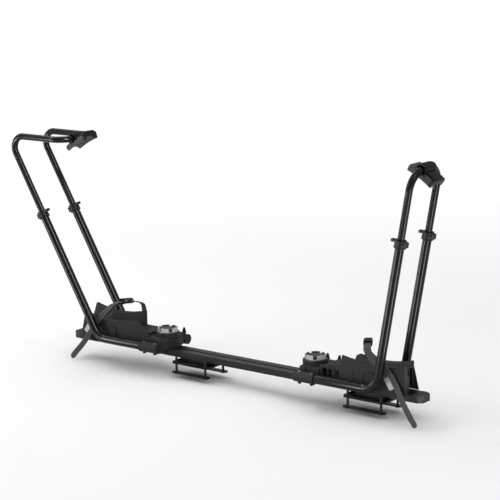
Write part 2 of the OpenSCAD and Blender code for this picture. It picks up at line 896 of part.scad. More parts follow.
// Thin ribs and a round swell on the outside of each wall
module tray_wall_ribs() {
    for (x = wall_rib_x, s = [-1, 1]) {
        translate([x, s * (tray_hw - cut / 2 + wall_rib_t / 2), wall_rib_z + wall_rib_h / 2])
            cube([wall_rib_w, wall_rib_t + cut, wall_rib_h], center = true);
    }
    for (s = [-1, 1]) {
        translate([s < 0 ? boss_x : boss_x - boss_shift, s * tray_hw, boss_z])
            rotate([-90 * s, 0, 0])
                difference() {
                    translate([0, 0, -cut]) cylinder(r = boss_r, h = boss_t + cut);
                    translate([0, 0, boss_t / 2]) cylinder(r = boss_r - boss_ring, h = boss_t);
                }
    }
}

// Raised seats for the strap ends, on the near wall and on the far wall
module strap_seats(e) {
    strap_side(e) {
        box(patch_x - strap_w / 2, patch_x + strap_w / 2, -tray_hw - wall_rib_t, cut - tray_hw,
            strap_end_z - seat_pad_h / 2, strap_end_z + seat_pad_h / 2);
        box(strap_far_x[e] - strap_w / 2, strap_far_x[e] + strap_w / 2, tray_hw - cut, tray_hw + wall_rib_t,
            strap_end_z - seat_pad_h / 4, strap_end_z + seat_pad_h);
    }
}

module tray(e) {
    color("#3a3b3c")
        at_end(e)
            union() {
                difference() {
                    intersection() {
                        union() {
                            tray_shell();
                            tray_end_wall();
                            tray_inner_wall();
                        }
                        tray_sides();
                    }
                    if (e == FRONT) {
                        box(tray_x0 - cut, tray_wall_x0, -tray_hw - cut, tray_wall - tray_hw + cut,
                            0, shelf_top + cut);
                    }
                }
                if (e == FRONT) {
                    window_panel();
                } else {
                    fin();
                }
                box(tray_x0, tray_x0 + tray_wall, cut - tray_hw, tray_hw - cut, seat_z, shelf_top);
                box(tray_x0, tray_wall_x0 + tray_wall, tray_wall / 2 - tray_hw, tray_hw - tray_wall / 2,
                    shelf_top - tray_wall, shelf_top);
                tray_end_flare();
                tray_wall_ribs();
                strap_seats(e);
            }
}

// Lower tubes: one bent tube on each side, from its sleeve to its collar

module low_tube_core(e, r, past) {
    turn = 90 - lean[e];
    trim = low_bend_r * tan(turn / 2);
    run = corner_x[e] - trim - tube_x0;
    translate([tube_x0, 0, tube_z])
        rotate([0, 90, 0])
            rotate([0, 0, 180]) {
                straight(run, r, past, tuck);
                after_straight(run) {
                    bend(low_bend_r, turn, r);
                    after_bend(low_bend_r, turn) straight(leg_l - trim, r, tuck, past);
                }
            }
}

module low_tube(e, sy) {
    color("#0d0d0d")
        at_end(e)
            difference() {
                translate([0, sy * leg_y, 0]) low_tube_core(e, low_r, 0);
                translate([0, sy * leg_y, 0]) low_tube_core(e, low_in_r, cut);
                at_sleeve_bolts(sy) hole(sleeve_bolt_r + bolt_fit, -sleeve_r, sleeve_d);
            }
}

// Collars on the leg tops, with the plate that releases the ratchet

module collar(e, sy) {
    slot_x0 = -collar_r - cut;
    slot_x1 = release_in + release_travel + slip;
    color("#191919")
        at_end(e)
            at_leg(e, sy)
                difference() {
                    union() {
                        translate([0, 0, collar_s0]) cylinder(r = collar_r, h = collar_h);
                        translate([collar_r - lug_in, -lug_w / 2, lug_s]) cube([lug_l, lug_w, lug_h]);
                    }
                    translate([0, 0, collar_s0 - cut])
                        cylinder(r = low_r + run_fit, h = leg_l - collar_s0 + cut);
                    translate([0, 0, leg_l - cut]) cylinder(r = up_r + slip, h = collar_h);
                    box(slot_x0, slot_x1, -release_r - slip, release_r + slip,
                        plate_s0 - slip, plate_s1 + slip);
                }
}

module release(e, sy) {
    tab_x = -collar_r - release_travel - slip;
    color("#202020")
        at_end(e)
            at_leg(e, sy)
                difference() {
                    union() {
                        intersection() {
                            translate([0, 0, plate_s0]) cylinder(r = release_r, h = release_t);
                            box(-collar_d, release_in, -collar_d, collar_d, plate_s0 - cut, plate_s1 + cut);
                        }
                        box(tab_x - cut, -up_r, -tab_w / 2, tab_w / 2, plate_s0, plate_s1);
                        translate([tab_x - tab_l, -tab_w / 2, (plate_s0 + plate_s1 - tab_h) / 2])
                            cube([tab_l, tab_w, tab_h]);
                    }
                    for (x = [0, -release_travel]) {
                        translate([x, 0, 0]) hole(up_r + slip, plate_s0, release_t);
                    }
                    box(-release_travel, 0, -up_r - slip, up_r + slip, plate_s0 - cut, plate_s1 + cut);
                }
}

// Upper hoops: one bent tube each, with ratchet notches along both legs

module front_half_hoop(r, past) {
    leg = front_top_s - front_bend_r - up_bottom_s;
    at_leg(FRONT, -1)
        translate([0, 0, up_bottom_s])
            rotate([0, 0, 90]) {
                straight(leg, r, past, tuck);
                after_straight(leg) {
                    bend(front_bend_r, 90, r);
                    after_bend(front_bend_r, 90) straight(leg_y - front_bend_r, r, tuck, tuck);
                }
            }
}

function rear_top_s() = (rear_run_z - tube_z) / cos(rear_lean);
function rear_trim() = rear_bend_r * tan((90 + rear_lean) / 2);
function rear_top_x() = rear_corner_x + rear_top_s() * sin(rear_lean);
function rear_run_l() = rear_top_x() - rear_trim() - rear_cross_x - rear_cross_r;

module rear_half_hoop(r, past) {
    leg = rear_top_s() - rear_trim() - up_bottom_s;
    at_leg(REAR, -1)
        translate([0, 0, up_bottom_s])
            rotate([0, 0, 180]) {
                straight(leg, r, past, tuck);
                after_straight(leg) {
                    bend(rear_bend_r, 90 + rear_lean, r);
                    after_bend(rear_bend_r, 90 + rear_lean)
                        rotate([0, 0, -90]) {
                            straight(rear_run_l(), r, tuck, tuck);
                            after_straight(rear_run_l()) {
                                bend(rear_cross_r, 90, r);
                                after_bend(rear_cross_r, 90) straight(leg_y - rear_cross_r, r, tuck, tuck);
                            }
                        }
                }
            }
}

module whole_hoop(e, r, past) {
    for (m = [0, 1]) {
        mirror([0, m, 0])
            if (e == FRONT) front_half_hoop(r, past);
            else rear_half_hoop(r, past);
    }
}

function notch_end(e) = (e == FRONT ? front_top_s - front_bend_r : rear_top_s() - rear_trim()) - notch_margin;

module notch_cutter(e) {
    first = up_bottom_s + notch_margin;
    count = floor((notch_end(e) - first) / notch_pitch);
    notch_y = notch_depth - up_r;
    rotate([0, 90, 0])
        translate([0, 0, -up_r])
            linear_extrude(2 * up_r)
                polygon(concat(
                    [[-first - count * notch_pitch, -up_r - cut], [-first, -up_r - cut]],
                    [for (i = [0 : count - 1], k = [0, 1])
                        [-first - (i + k * notch_share) * notch_pitch, k == 0 ? -up_r - notch_land : notch_y]]
                ));
}

module hoop(e) {
    color("#0c0c0c")
        at_end(e)
            difference() {
                whole_hoop(e, up_r, 0);
                whole_hoop(e, up_in_r, cut);
                for (sy = [-1, 1]) {
                    at_leg(e, sy) rotate([0, 0, near_sign(e) > 0 ? 180 : 0]) notch_cutter(e);
                }
            }
}

// Saddles: a pad shaped to the tyre and a ribbed cap, which pivot together on the cross tube

function cross_pos(e) = e == FRONT
    ? [front_corner_x + front_top_s * sin(front_lean), 0, tube_z + front_top_s * cos(front_lean)]
    : [rear_cross_x, 0, rear_run_z];

module at_saddle(e) translate(cross_pos(e)) rotate([0, saddle_tilt, 0]) children();

// Angle round the wheel of a length along the tyre
function arc(l) = l / axis_r * 180 / PI;

// Revolved about the wheel's axis between two places along the tyre, with outwards positive
module tyre_sweep(from, to) {
    translate([0, 0, -axis_r])
        rotate([90, 0, 0])
            rotate([0, 0, 90 - arc(to)])
                rotate_extrude(angle = arc(to - from))
                    children();
}

module saddle_section(top) {
    hw = saddle_w / 2;
    in_hw = saddle_in_w / 2;
    polygon([
        [flank_r, saddle_edge - hw], [flank_r + saddle_edge, -hw], [top - saddle_bevel, -hw],
        [top, saddle_bevel - hw], [top, hw - saddle_bevel],
        [top - saddle_bevel, hw], [flank_r + saddle_edge, hw], [flank_r, hw - saddle_edge],
        [flank_r, in_hw], [pad_in_r - pad_round[0], in_hw - pad_round[1]], [pad_in_r, in_hw - pad_round[2]],
        [pad_in_r, pad_round[2] - in_hw], [pad_in_r - pad_round[0], pad_round[1] - in_hw], [flank_r, -in_hw]
    ]);
}

// Room for the cross tube: a bearing in the middle, and wider ends for the tube's bends
module tube_relief() {
    rotate([90, 0, 0])
        rotate_extrude()
            polygon([
                [0, -saddle_w], [relief_r, -saddle_w], [relief_r, -bearing_hw], [up_r + run_fit, -bearing_hw],
                [up_r + run_fit, bearing_hw], [relief_r, bearing_hw], [relief_r, saddle_w], [0, saddle_w]
            ]);
}

// Both saddles are the same way round, so the lip is outwards at the front and inwards at the rear
function lip_way(e) = e == FRONT ? 1 : -1;

module lip_sweep(e, from, to) {
    a = lip_way(e) * from;
    b = lip_way(e) * to;
    tyre_sweep(min(a, b), max(a, b)) children();
}

module saddle_pad(e) {
    pocket_in = foot_hw + slip / 2;
    color("#3c3c3d")
        at_end(e)
            at_saddle(e)
                difference() {
                    union() {
                        lip_sweep(e, -saddle_short, saddle_long) saddle_section(pad_out_r);
                        box(-foot_hl, foot_hl, -foot_hw, foot_hw, foot_h - saddle_lift, -slip / 2);
                    }
                    for (y = [-saddle_w, pocket_in]) {
                        box(-foot_hl - slip, foot_hl + slip, y, y + saddle_w - pocket_in,
                            -cheek_h - slip, saddle_w);
                    }
                    tube_relief();
                }
}

// The cap has an apron with a lip over the pad's end, and cheeks that reach down beside the tube
module saddle_cap(e) {
    hw = foot_hw - cut;
    split_hw = foot_hw + slip + cut;
    apron_hw = hw - slip;
    rib_hw = apron_hw - slip;
    color("#151515")
        at_end(e)
            at_saddle(e)
                difference() {
                    union() {
                        rotate([90, 0, 0]) cylinder(r = hub_r, h = 2 * cheek_out - slip, center = true);
                        box(-foot_hl, foot_hl, -cheek_out, cheek_out, -cheek_h, foot_h);
                        lip_sweep(e, 0, apron_l)
                            translate([pad_out_r + slip, -apron_hw])
                                square([apron_t, 2 * apron_hw]);
                        lip_sweep(e, lip_start, lip_end) saddle_section(lip_top);
                        for (i = [0 : cap_rib_n - 1]) {
                            mid = apron_l - cap_rib_t - i * cap_rib_pitch;
                            lip_sweep(e, mid - cap_rib_t / 2, mid + cap_rib_t / 2)
                                translate([pad_out_r + slip + apron_t - cut, -rib_hw])
                                    square([cap_rib_h + cut, 2 * rib_hw]);
                        }
                        for (a = [-2 : 2]) {
                            rotate([0, a * cap_rib_pitch / hub_r * 180 / PI, 0])
                                box(-cap_rib_t / 2, cap_rib_t / 2, -rib_hw, rib_hw,
                                    hub_r - cut, hub_r + cap_rib_h);
                        }
                    }
                    box(-foot_hl - slip, foot_hl + slip, -split_hw, split_hw, -saddle_w, slip / 2);
                    box(-cheek_slot, cheek_slot, -saddle_w, saddle_w, -saddle_w, 0);
                    tube_relief();
                }
}

// Straps: flat ribbons along smooth routes, each given by its points and the way its face looks there

function unit(v) = v / norm(v);
function spline(p, i, t) =
    let (a = p[max(i - 1, 0)], b = p[i], c = p[i + 1], d = p[min(i + 2, len(p) - 1)])
    b + 0.5 * t * (c - a + t * (2 * a - 5 * b + 4 * c - d + t * (3 * (b - c) + d - a)));
function along(p, n) = [for (i = [0 : len(p) - 2], k = [0 : n - 1]) spline(p, i, k / n), p[len(p) - 1]];

module ribbon(route, faces, w, t) {
    steps = 4;
    p = along(route, steps);
    f = along(faces, steps);
    m = len(p);
    dir = [for (i = [0 : m - 1]) unit(p[min(i + 1, m - 1)] - p[max(i - 1, 0)])];
    side = [for (i = [0 : m - 1]) unit(cross(dir[i], f[i]))];
    up = [for (i = [0 : m - 1]) cross(side[i], dir[i])];
    polyhedron(
        [for (i = [0 : m - 1], c = [[1, 1], [1, -1], [-1, -1], [-1, 1]])
            p[i] + side[i] * c[0] * w / 2 + up[i] * c[1] * t / 2],
        concat(
            [[0, 1, 2], [0, 2, 3]],
            [for (i = [0 : m - 2], c = [0 : 3], k = [0, 1])
                let (a = 4 * i + c, b = 4 * i + (c + 1) % 4)
                k == 0 ? [a, a + 4, b] : [b, a + 4, b + 4]],
            [[4 * m - 4, 4 * m - 2, 4 * m - 3], [4 * m - 4, 4 * m - 1, 4 * m - 2]]
        )
    );
}

// Buckle place: the middle of its base, over the rim, with its length turned across the wheel
buckle_mid = [[505, -14, 152], [474, -14, 149]];
buckle_turn = 30;

// Places of the strap ends along the rail and above its underside
patch_x = 614;
strap_end_z = 44;
strap_far_x = [458, 448];

// Faces of the ribbons: looking out of the near side, up, or out of the far side
OUT = [0, -1, 0];
UP = [0, 0, 1];
BACK = [0, 1, 0];

module at_buckle(e) translate(buckle_mid[e]) rotate([0, 0, 90 + buckle_turn]) children();

// Straps are drawn with the near side at -y, which is the end's own -y at the front and its +y at the rear
module strap_side(e) mirror([0, e == REAR ? 1 : 0, 0]) children();

// A point on the buckle's middle line, s half lengths from its middle
function buckle_end(e, s, z) = buckle_mid[e] + [
    -sin(buckle_turn) * s * buckle_l / 2, cos(buckle_turn) * s * buckle_l / 2, z
];

// Steps of the buckle strap from the buckle to the near wall, and the tail's first step
strap_over = [8, -9, -8];
strap_down = [26, -31];
strap_bend = [586, 90];
patch_rise = [14, 20];
tail_step = [16, -14];
far_rise = [84, 132];
far_lean = [2, -4];
far_top = [-8, 12, -3];
tail_drop = [
    [[0, 0, 0], [67, 0, -48], [95, 0, -84], [125, -8, -130], [155, -16, -168], [181, -20, -199]],
    [[0, 0, 0], [58, 0, -55], [88, 0, -93], [116, -8, -135], [142, -16, -167], [166, -20, -195]]
];

module strap(e) {
    near = buckle_end(e, -1, strap_z);
    far = buckle_end(e, 1, strap_z);
    far_x = strap_far_x[e];
    tail_top = [near[0] + tail_step[0], -y_out, near[2] + tail_step[1]];
    route = concat(
        [[far_x, y_in, strap_end_z], [far_x, y_in, far_rise[0]]],
        [[far_x + far_lean[0], y_in + far_lean[1], far_rise[1]], far + far_top],
        [far, buckle_end(e, 0.4, strap_z), buckle_end(e, -0.4, strap_z), near],
        [for (d = tail_drop[e]) tail_top + d]
    );
    faces = [
        BACK, BACK, [0, 0.9, 0.4], [0, 0.5, 0.9], UP, UP, UP, UP, [0.3, -0.9, 0.4], OUT, OUT, OUT, OUT, OUT
    ];
    color("#2c2c2c") at_end(e) strap_side(e) ribbon(route, faces, strap_w, strap_t);
}

module buckle_strap(e) {
    near = buckle_end(e, -1, under_z - strap_sag);
    route = [
        buckle_end(e, -0.2, under_z), buckle_end(e, -0.7, under_z),
        near, near + strap_over, [near[0] + strap_down[0], -y_in, near[2] + strap_down[1]],
        [strap_bend[0], -y_in, strap_bend[1]],
        [patch_x - patch_rise[0], -y_in, strap_end_z + patch_rise[1]], [patch_x, -y_in, strap_end_z]
    ];
    faces = [UP, UP, UP, [0.3, -0.8, 0.6], OUT, OUT, OUT, OUT];
    color("#2f2f2f") at_end(e) strap_side(e) ribbon(route, faces, strap_w, strap_t);
}

// Lies along the end of the buckle strap
module patch(e) {
    color("#8c8c8c")
        at_end(e)
            strap_side(e)
                translate([patch_x - 7, -y_in - strap_t / 2 - slip, strap_end_z + 10])
                    rotate([90, 0, 0])
                        rotate([0, 0, -55])
                            translate([-patch_l / 2, -strap_w / 2, 0])
                                cube([patch_l, strap_w, patch_t]);
}

module at_buckle_pin() translate([0, 0, buckle_axis_z]) rotate([90, 0, 0]) children();

module buckle_frame(e) {
    color("#222222")
        at_end(e)
            strap_side(e)
                at_buckle(e)
                    difference() {
                        union() {
                            box(-buckle_l / 2, buckle_l / 2, -buckle_w / 2, buckle_w / 2, 0, buckle_base_t);
                            for (s = [-1, 1]) {
                                translate([0, s * (buckle_w - cheek_t) / 2, buckle_h / 2])
                                    cube([cheek_l, cheek_t, buckle_h], center = true);
                            }
                        }
                        at_buckle_pin() cylinder(r = pin_hole_r, h = 2 * buckle_w, center = true);
                    }
}

module buckle_pin(e) {
    color("#8a8a8a")
        at_end(e)
            strap_side(e)
                at_buckle(e)
                    at_buckle_pin() cylinder(d = buckle_pin_d, h = buckle_w, center = true);
}

module buckle_lever(e) {
    lever_w = buckle_w - 2 * cheek_t - 2 * slip;
    color("#1b1b1b")
        at_end(e)
            strap_side(e)
                at_buckle(e)
                    difference() {
                        union() {
                            at_buckle_pin() cylinder(r = lever_hub_r, h = lever_w, center = true);
                            translate([0, -lever_w / 2, buckle_axis_z])
                                cube([buckle_l / 2, lever_w, lever_t]);
                        }
                        at_buckle_pin() cylinder(r = pin_hole_r, h = 2 * buckle_w, center = true);
                    }
}

rail();
end_cap(FRONT);  // front_end_cap
end_cap(REAR);  // rear_end_cap
clamp_plate(front_clamp_x);  // front_clamp_plate
clamp_plate(rear_clamp_x);  // rear_clamp_plate
seat_block(front_clamp_x);  // front_seat_block
seat_block(rear_clamp_x);  // rear_seat_block
seat_pad(front_clamp_x);  // front_seat_pad
seat_pad(rear_clamp_x);  // rear_seat_pad
clamp_nuts();
rail_t_bolts();
jaw_bars(front_clamp_x);  // front_jaw_bars
jaw_bolts(front_clamp_x);  // front_jaw_bolts
jaw_bars(rear_clamp_x);  // rear_jaw_bars
jaw_bolts(rear_clamp_x);  // rear_jaw_bolts
bracket(FRONT);  // front_bracket
tray(FRONT);  // front_tray
low_tube(FRONT, near_sign(FRONT));  // front_tube_near
low_tube(FRONT, -near_sign(FRONT));  // front_tube_far
sleeve_bolts(FRONT);  // front_sleeve_bolts
sleeve_nuts(FRONT);  // front_sleeve_nuts
knob(FRONT);  // front_knob
spindle(FRONT);  // front_spindle
clamp_shoe(FRONT);  // front_clamp_shoe
collar(FRONT, near_sign(FRONT));  // front_collar_near
collar(FRONT, -near_sign(FRONT));  // front_collar_far
release(FRONT, near_sign(FRONT));  // front_release_near
release(FRONT, -near_sign(FRONT));  // front_release_far
hoop(FRONT);  // front_hoop
saddle_pad(FRONT);  // front_saddle_pad
saddle_cap(FRONT);  // front_saddle_cap
strap(FRONT);  // front_strap
buckle_strap(FRONT);  // front_buckle_strap
buckle_frame(FRONT);  // front_buckle_frame
buckle_lever(FRONT);  // front_buckle_lever
buckle_pin(FRONT);  // front_buckle_pin
patch(FRONT);  // front_patch
bracket(REAR);  // rear_bracket
tray(REAR);  // rear_tray
low_tube(REAR, near_sign(REAR));  // rear_tube_near
low_tube(REAR, -near_sign(REAR));  // rear_tube_far
sleeve_bolts(REAR);  // rear_sleeve_bolts
sleeve_nuts(REAR);  // rear_sleeve_nuts
knob(REAR);  // rear_knob
spindle(REAR);  // rear_spindle
clamp_shoe(REAR);  // rear_clamp_shoe
collar(REAR, near_sign(REAR));  // rear_collar_near
collar(REAR, -near_sign(REAR));  // rear_collar_far
release(REAR, near_sign(REAR));  // rear_release_near
release(REAR, -near_sign(REAR));  // rear_release_far
hoop(REAR);  // rear_hoop
saddle_pad(REAR);  // rear_saddle_pad
saddle_cap(REAR);  // rear_saddle_cap
strap(REAR);  // rear_strap
buckle_strap(REAR);  // rear_buckle_strap
buckle_frame(REAR);  // rear_buckle_frame
buckle_lever(REAR);  // rear_buckle_lever
buckle_pin(REAR);  // rear_buckle_pin
patch(REAR);  // rear_patch
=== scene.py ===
import logging
from dataclasses import dataclass, field
from enum import Enum
from math import asin, cos, pi, radians, sin, sqrt
from typing import Any, Sequence

import bmesh
import bpy
from mathutils import Matrix, Vector


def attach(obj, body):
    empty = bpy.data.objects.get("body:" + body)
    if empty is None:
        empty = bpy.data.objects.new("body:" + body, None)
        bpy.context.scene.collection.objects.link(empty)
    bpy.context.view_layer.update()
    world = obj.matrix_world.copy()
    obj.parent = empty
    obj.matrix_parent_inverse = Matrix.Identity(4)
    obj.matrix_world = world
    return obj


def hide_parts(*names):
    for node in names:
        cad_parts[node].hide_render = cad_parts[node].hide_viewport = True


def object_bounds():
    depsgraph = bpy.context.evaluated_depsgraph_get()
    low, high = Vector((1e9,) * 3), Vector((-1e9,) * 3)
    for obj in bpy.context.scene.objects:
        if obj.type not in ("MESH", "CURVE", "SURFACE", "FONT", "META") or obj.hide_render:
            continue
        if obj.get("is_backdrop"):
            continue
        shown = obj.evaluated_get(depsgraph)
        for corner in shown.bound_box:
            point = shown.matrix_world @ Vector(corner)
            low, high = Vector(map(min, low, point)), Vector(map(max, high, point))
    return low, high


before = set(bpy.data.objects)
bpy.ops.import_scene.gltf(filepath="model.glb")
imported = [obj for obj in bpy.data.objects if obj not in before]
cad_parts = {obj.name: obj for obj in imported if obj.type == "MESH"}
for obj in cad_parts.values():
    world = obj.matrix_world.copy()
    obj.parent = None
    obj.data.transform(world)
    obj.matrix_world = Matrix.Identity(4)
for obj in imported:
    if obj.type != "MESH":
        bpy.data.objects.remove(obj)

LOG = logging.getLogger("bike_carrier")
MM = 0.001

# Dot product of the rounded and the true normal on a flat face and on an edge
FLAT_DOT = 0.99
EDGE_DOT = 0.8


class End(Enum):
    """The two ends of the rail."""

    FRONT = "front"
    REAR = "rear"

    def turn(self) -> Matrix:
        """Turn from an end's own frame, with +X outwards, to the shared frame."""
        return Matrix.Rotation(pi if self is End.REAR else 0.0, 4, "Z")

    def flip(self) -> Matrix:
        """Mirror from a frame with +X outwards, and the near side kept, to the shared frame."""
        return Matrix.Diagonal((-1.0 if self is End.REAR else 1.0, 1, 1, 1))


class Side(Enum):
    """The two sides of the carrier, seen from the camera."""

    NEAR = "near"
    FAR = "far"


# Small tools


def linear(colour: str) -> tuple[float, float, float, float]:
    """Turns an sRGB colour to linear light.

    Args:
        colour: Hex text such as "#3a3b3c".

    Returns:
        Linear red, green and blue, and an alpha of 1.
    """
    parts = [int(colour[i:i + 2], 16) / 255 for i in (1, 3, 5)]
    red, green, blue = (c / 12.92 if c <= 0.04045 else ((c + 0.055) / 1.055) ** 2.4 for c in parts)
    return red, green, blue, 1.0


def shade(colour: str, factor: float) -> list[float]:
    """Linear light of an sRGB hex colour, made darker or paler by a factor."""
    return [c * factor for c in linear(colour)[:3]] + [1.0]


def per_mm(size: float) -> float:
    """Texture scale, on coordinates in metres, that gives features of a size in millimetres."""
    return 1000.0 / size


def wave_per_mm(pitch: float) -> float:
    """Scale of a wave texture, on coordinates in metres, that gives bands of a pitch in millimetres."""
    return 2 * pi / 20 * 1000.0 / pitch


def feed(tree: bpy.types.NodeTree, node: bpy.types.Node, inputs: dict[str | int, Any]) -> None:
    """Sets or links inputs of a node.

    Args:
        tree: Node tree that holds the node.
        node: The node.
        inputs: Value or output socket for each input, by name or number.
    """
    for key, value in inputs.items():
        if isinstance(value, bpy.types.NodeSocket):
            tree.links.new(value, node.inputs[key])
        else:
            node.inputs[key].default_value = value


def add(tree: bpy.types.NodeTree, kind: str, props: dict[str, Any] | None = None,
        inputs: dict[str | int, Any] | None = None) -> bpy.types.Node:
    """Adds a node with its settings and links.

    Args:
        tree: Node tree that gets the node.
        kind: Blender's name of the node type.
        props: Node properties by name.
        inputs: Value or output socket for each input, by name or number.

    Returns:
        The new node.
    """
    node = tree.nodes.new(kind)
    for name, value in (props or {}).items():
        setattr(node, name, value)
    feed(tree, node, inputs or {})
    return node


# Finishes


@dataclass(frozen=True)
class Finish:
    """What every finish has: a name, a colour, a roughness and a radius that softens its edges."""

    name: str
    colour: str
    rough: float
    edge_mm: float = 0.7

    def material(self) -> bpy.types.Material:
        """Makes the material the first time that it is asked for.

        Returns:
            The material.
        """
        known = bpy.data.materials.get(self.name)
        if known:
            return known
        material = bpy.data.materials.new(self.name)
        material.use_nodes = True
        tree = material.node_tree
        shader = tree.nodes["Principled BSDF"]
        feed(tree, shader, {"Base Color": linear(self.colour), "Roughness": self.rough})
        self.dress(tree, shader)
        return material

    def dress(self, tree: bpy.types.NodeTree, shader: bpy.types.Node) -> None:
        """Adds the finish's own nodes.

        Args:
            tree: Node tree of the material.
            shader: Its principled shader.
        """
        raise NotImplementedError

    def edges(self, tree: bpy.types.NodeTree) -> tuple[bpy.types.NodeSocket, bpy.types.NodeSocket]:
        """Rounds the shading at edges, and finds where they are.

        Args:
            tree: Node tree of the material.

        Returns:
            The rounded normal, and a mask that is 1 on the edges.
        """
        round_off = add(tree, "ShaderNodeBevel", {"samples": 4}, {"Radius": self.edge_mm * MM})
        face = add(tree, "ShaderNodeNewGeometry")
        along = add(tree, "ShaderNodeVectorMath", {"operation": "DOT_PRODUCT"},
                    {0: round_off.outputs[0], 1: face.outputs["Normal"]})
        mask = add(tree, "ShaderNodeMapRange", None,
                   {"Value": along.outputs["Value"], "From Min": FLAT_DOT, "From Max": EDGE_DOT})
        return round_off.outputs[0], mask.outputs[0]


@dataclass(frozen=True)
class MouldedPlastic(Finish):
    """Injection moulded plastic: eroded grain breaks its shine, and its edges are paler, partly from
    handling wear and partly a painted edge highlight.
    """

    # Paler colour and its amount on the edges: wear, and a painted edge highlight
    wear_and_highlight_colour: str = "#58595b"
    wear_and_highlight: float = 0.35
    shine: float = 0.35
    grain_mm: float = 1.1
    grain_depth_mm: float = 0.2
    mottle_mm: float = 38.0
    mottle_tones: tuple[float, float] = (0.82, 1.2)
    mottle_rough: float = 0.08
    bump: float = 0.25

    def dress(self, tree: bpy.types.NodeTree, shader: bpy.types.Node) -> None:
        """Adds the grain, a slow change of tone and the paler edges, which are partly wear and partly a
        painted highlight.

        Args:
            tree: Node tree of the material.
            shader: Its principled shader.
        """
        coords = add(tree, "ShaderNodeTexCoord").outputs["Object"]
        normal, edge = self.edges(tree)
        grain = add(tree, "ShaderNodeTexNoise", None,
                    {"Vector": coords, "Scale": per_mm(self.grain_mm), "Detail": 3.0})
        mottle = add(tree, "ShaderNodeTexNoise", None,
                     {"Vector": coords, "Scale": per_mm(self.mottle_mm), "Detail": 5.0, "Roughness": 0.6})
        dark, pale = (shade(self.colour, factor) for factor in self.mottle_tones)
        tone = add(tree, "ShaderNodeMix", {"data_type": "RGBA"}, {0: mottle.outputs[0], 6: dark, 7: pale})
        # Painted edge highlight, with wear: the edges are mixed towards a paler colour
        amount = add(tree, "ShaderNodeMath", {"operation": "MULTIPLY"}, {0: edge, 1: self.wear_and_highlight})
        base = add(tree, "ShaderNodeMix", {"data_type": "RGBA"},
                   {0: amount.outputs[0], 6: tone.outputs[2], 7: linear(self.wear_and_highlight_colour)})
        rough = add(tree, "ShaderNodeMapRange", None,
                    {"Value": mottle.outputs[0], "To Min": self.rough - self.mottle_rough,
                     "To Max": self.rough + self.mottle_rough})
        bump = add(tree, "ShaderNodeBump", None,
                   {"Strength": self.bump, "Distance": self.grain_depth_mm * MM,
                    "Height": grain.outputs[0], "Normal": normal})
        feed(tree, shader, {"Base Color": base.outputs[2], "Roughness": rough.outputs[0],
                            "Normal": bump.outputs[0], "Specular IOR Level": self.shine})


@dataclass(frozen=True)
class TwoToneMoulding(MouldedPlastic):
    """A moulding in two colours: a darker one below a height and inside a radius round its axis, and the
    finish's own colour elsewhere.
    """

    inner_colour: str = "#1c1c1d"
    foot_z: float = 0.0
    inner_r: float = 0.0
    axis_x: float = 0.0

    def dress(self, tree: bpy.types.NodeTree, shader: bpy.types.Node) -> None:
        """Adds the moulded grain, then the darker colour below the foot's height and inside the radius.

        Args:
            tree: Node tree of the material.
            shader: Its principled shader.
        """
        super().dress(tree, shader)
        shell = shader.inputs["Base Color"].links[0].from_socket
        coords = add(tree, "ShaderNodeTexCoord").outputs["Object"]
        place = add(tree, "ShaderNodeSeparateXYZ", None, {0: coords})
        x = add(tree, "ShaderNodeMath", {"operation": "ABSOLUTE"}, {0: place.outputs["X"]})
        from_axis = add(tree, "ShaderNodeMath", {"operation": "SUBTRACT"},
                        {0: x.outputs[0], 1: self.axis_x})
        flat = add(tree, "ShaderNodeCombineXYZ", None, {"X": from_axis.outputs[0], "Y": place.outputs["Y"]})
        radius = add(tree, "ShaderNodeVectorMath", {"operation": "LENGTH"}, {0: flat.outputs[0]})
        # Darker inside a radius round the knob's axis and below a height
        outside = add(tree, "ShaderNodeMath", {"operation": "GREATER_THAN"},
                      {0: radius.outputs["Value"], 1: self.inner_r})
        above = add(tree, "ShaderNodeMath", {"operation": "GREATER_THAN"},
                    {0: place.outputs["Z"], 1: self.foot_z})
        where = add(tree, "ShaderNodeMath", {"operation": "MULTIPLY"},
                    {0: outside.outputs[0], 1: above.outputs[0]})
        both = add(tree, "ShaderNodeMix", {"data_type": "RGBA"},
                   {0: where.outputs[0], 6: linear(self.inner_colour), 7: shell})
        feed(tree, shader, {"Base Color": both.outputs[2]})


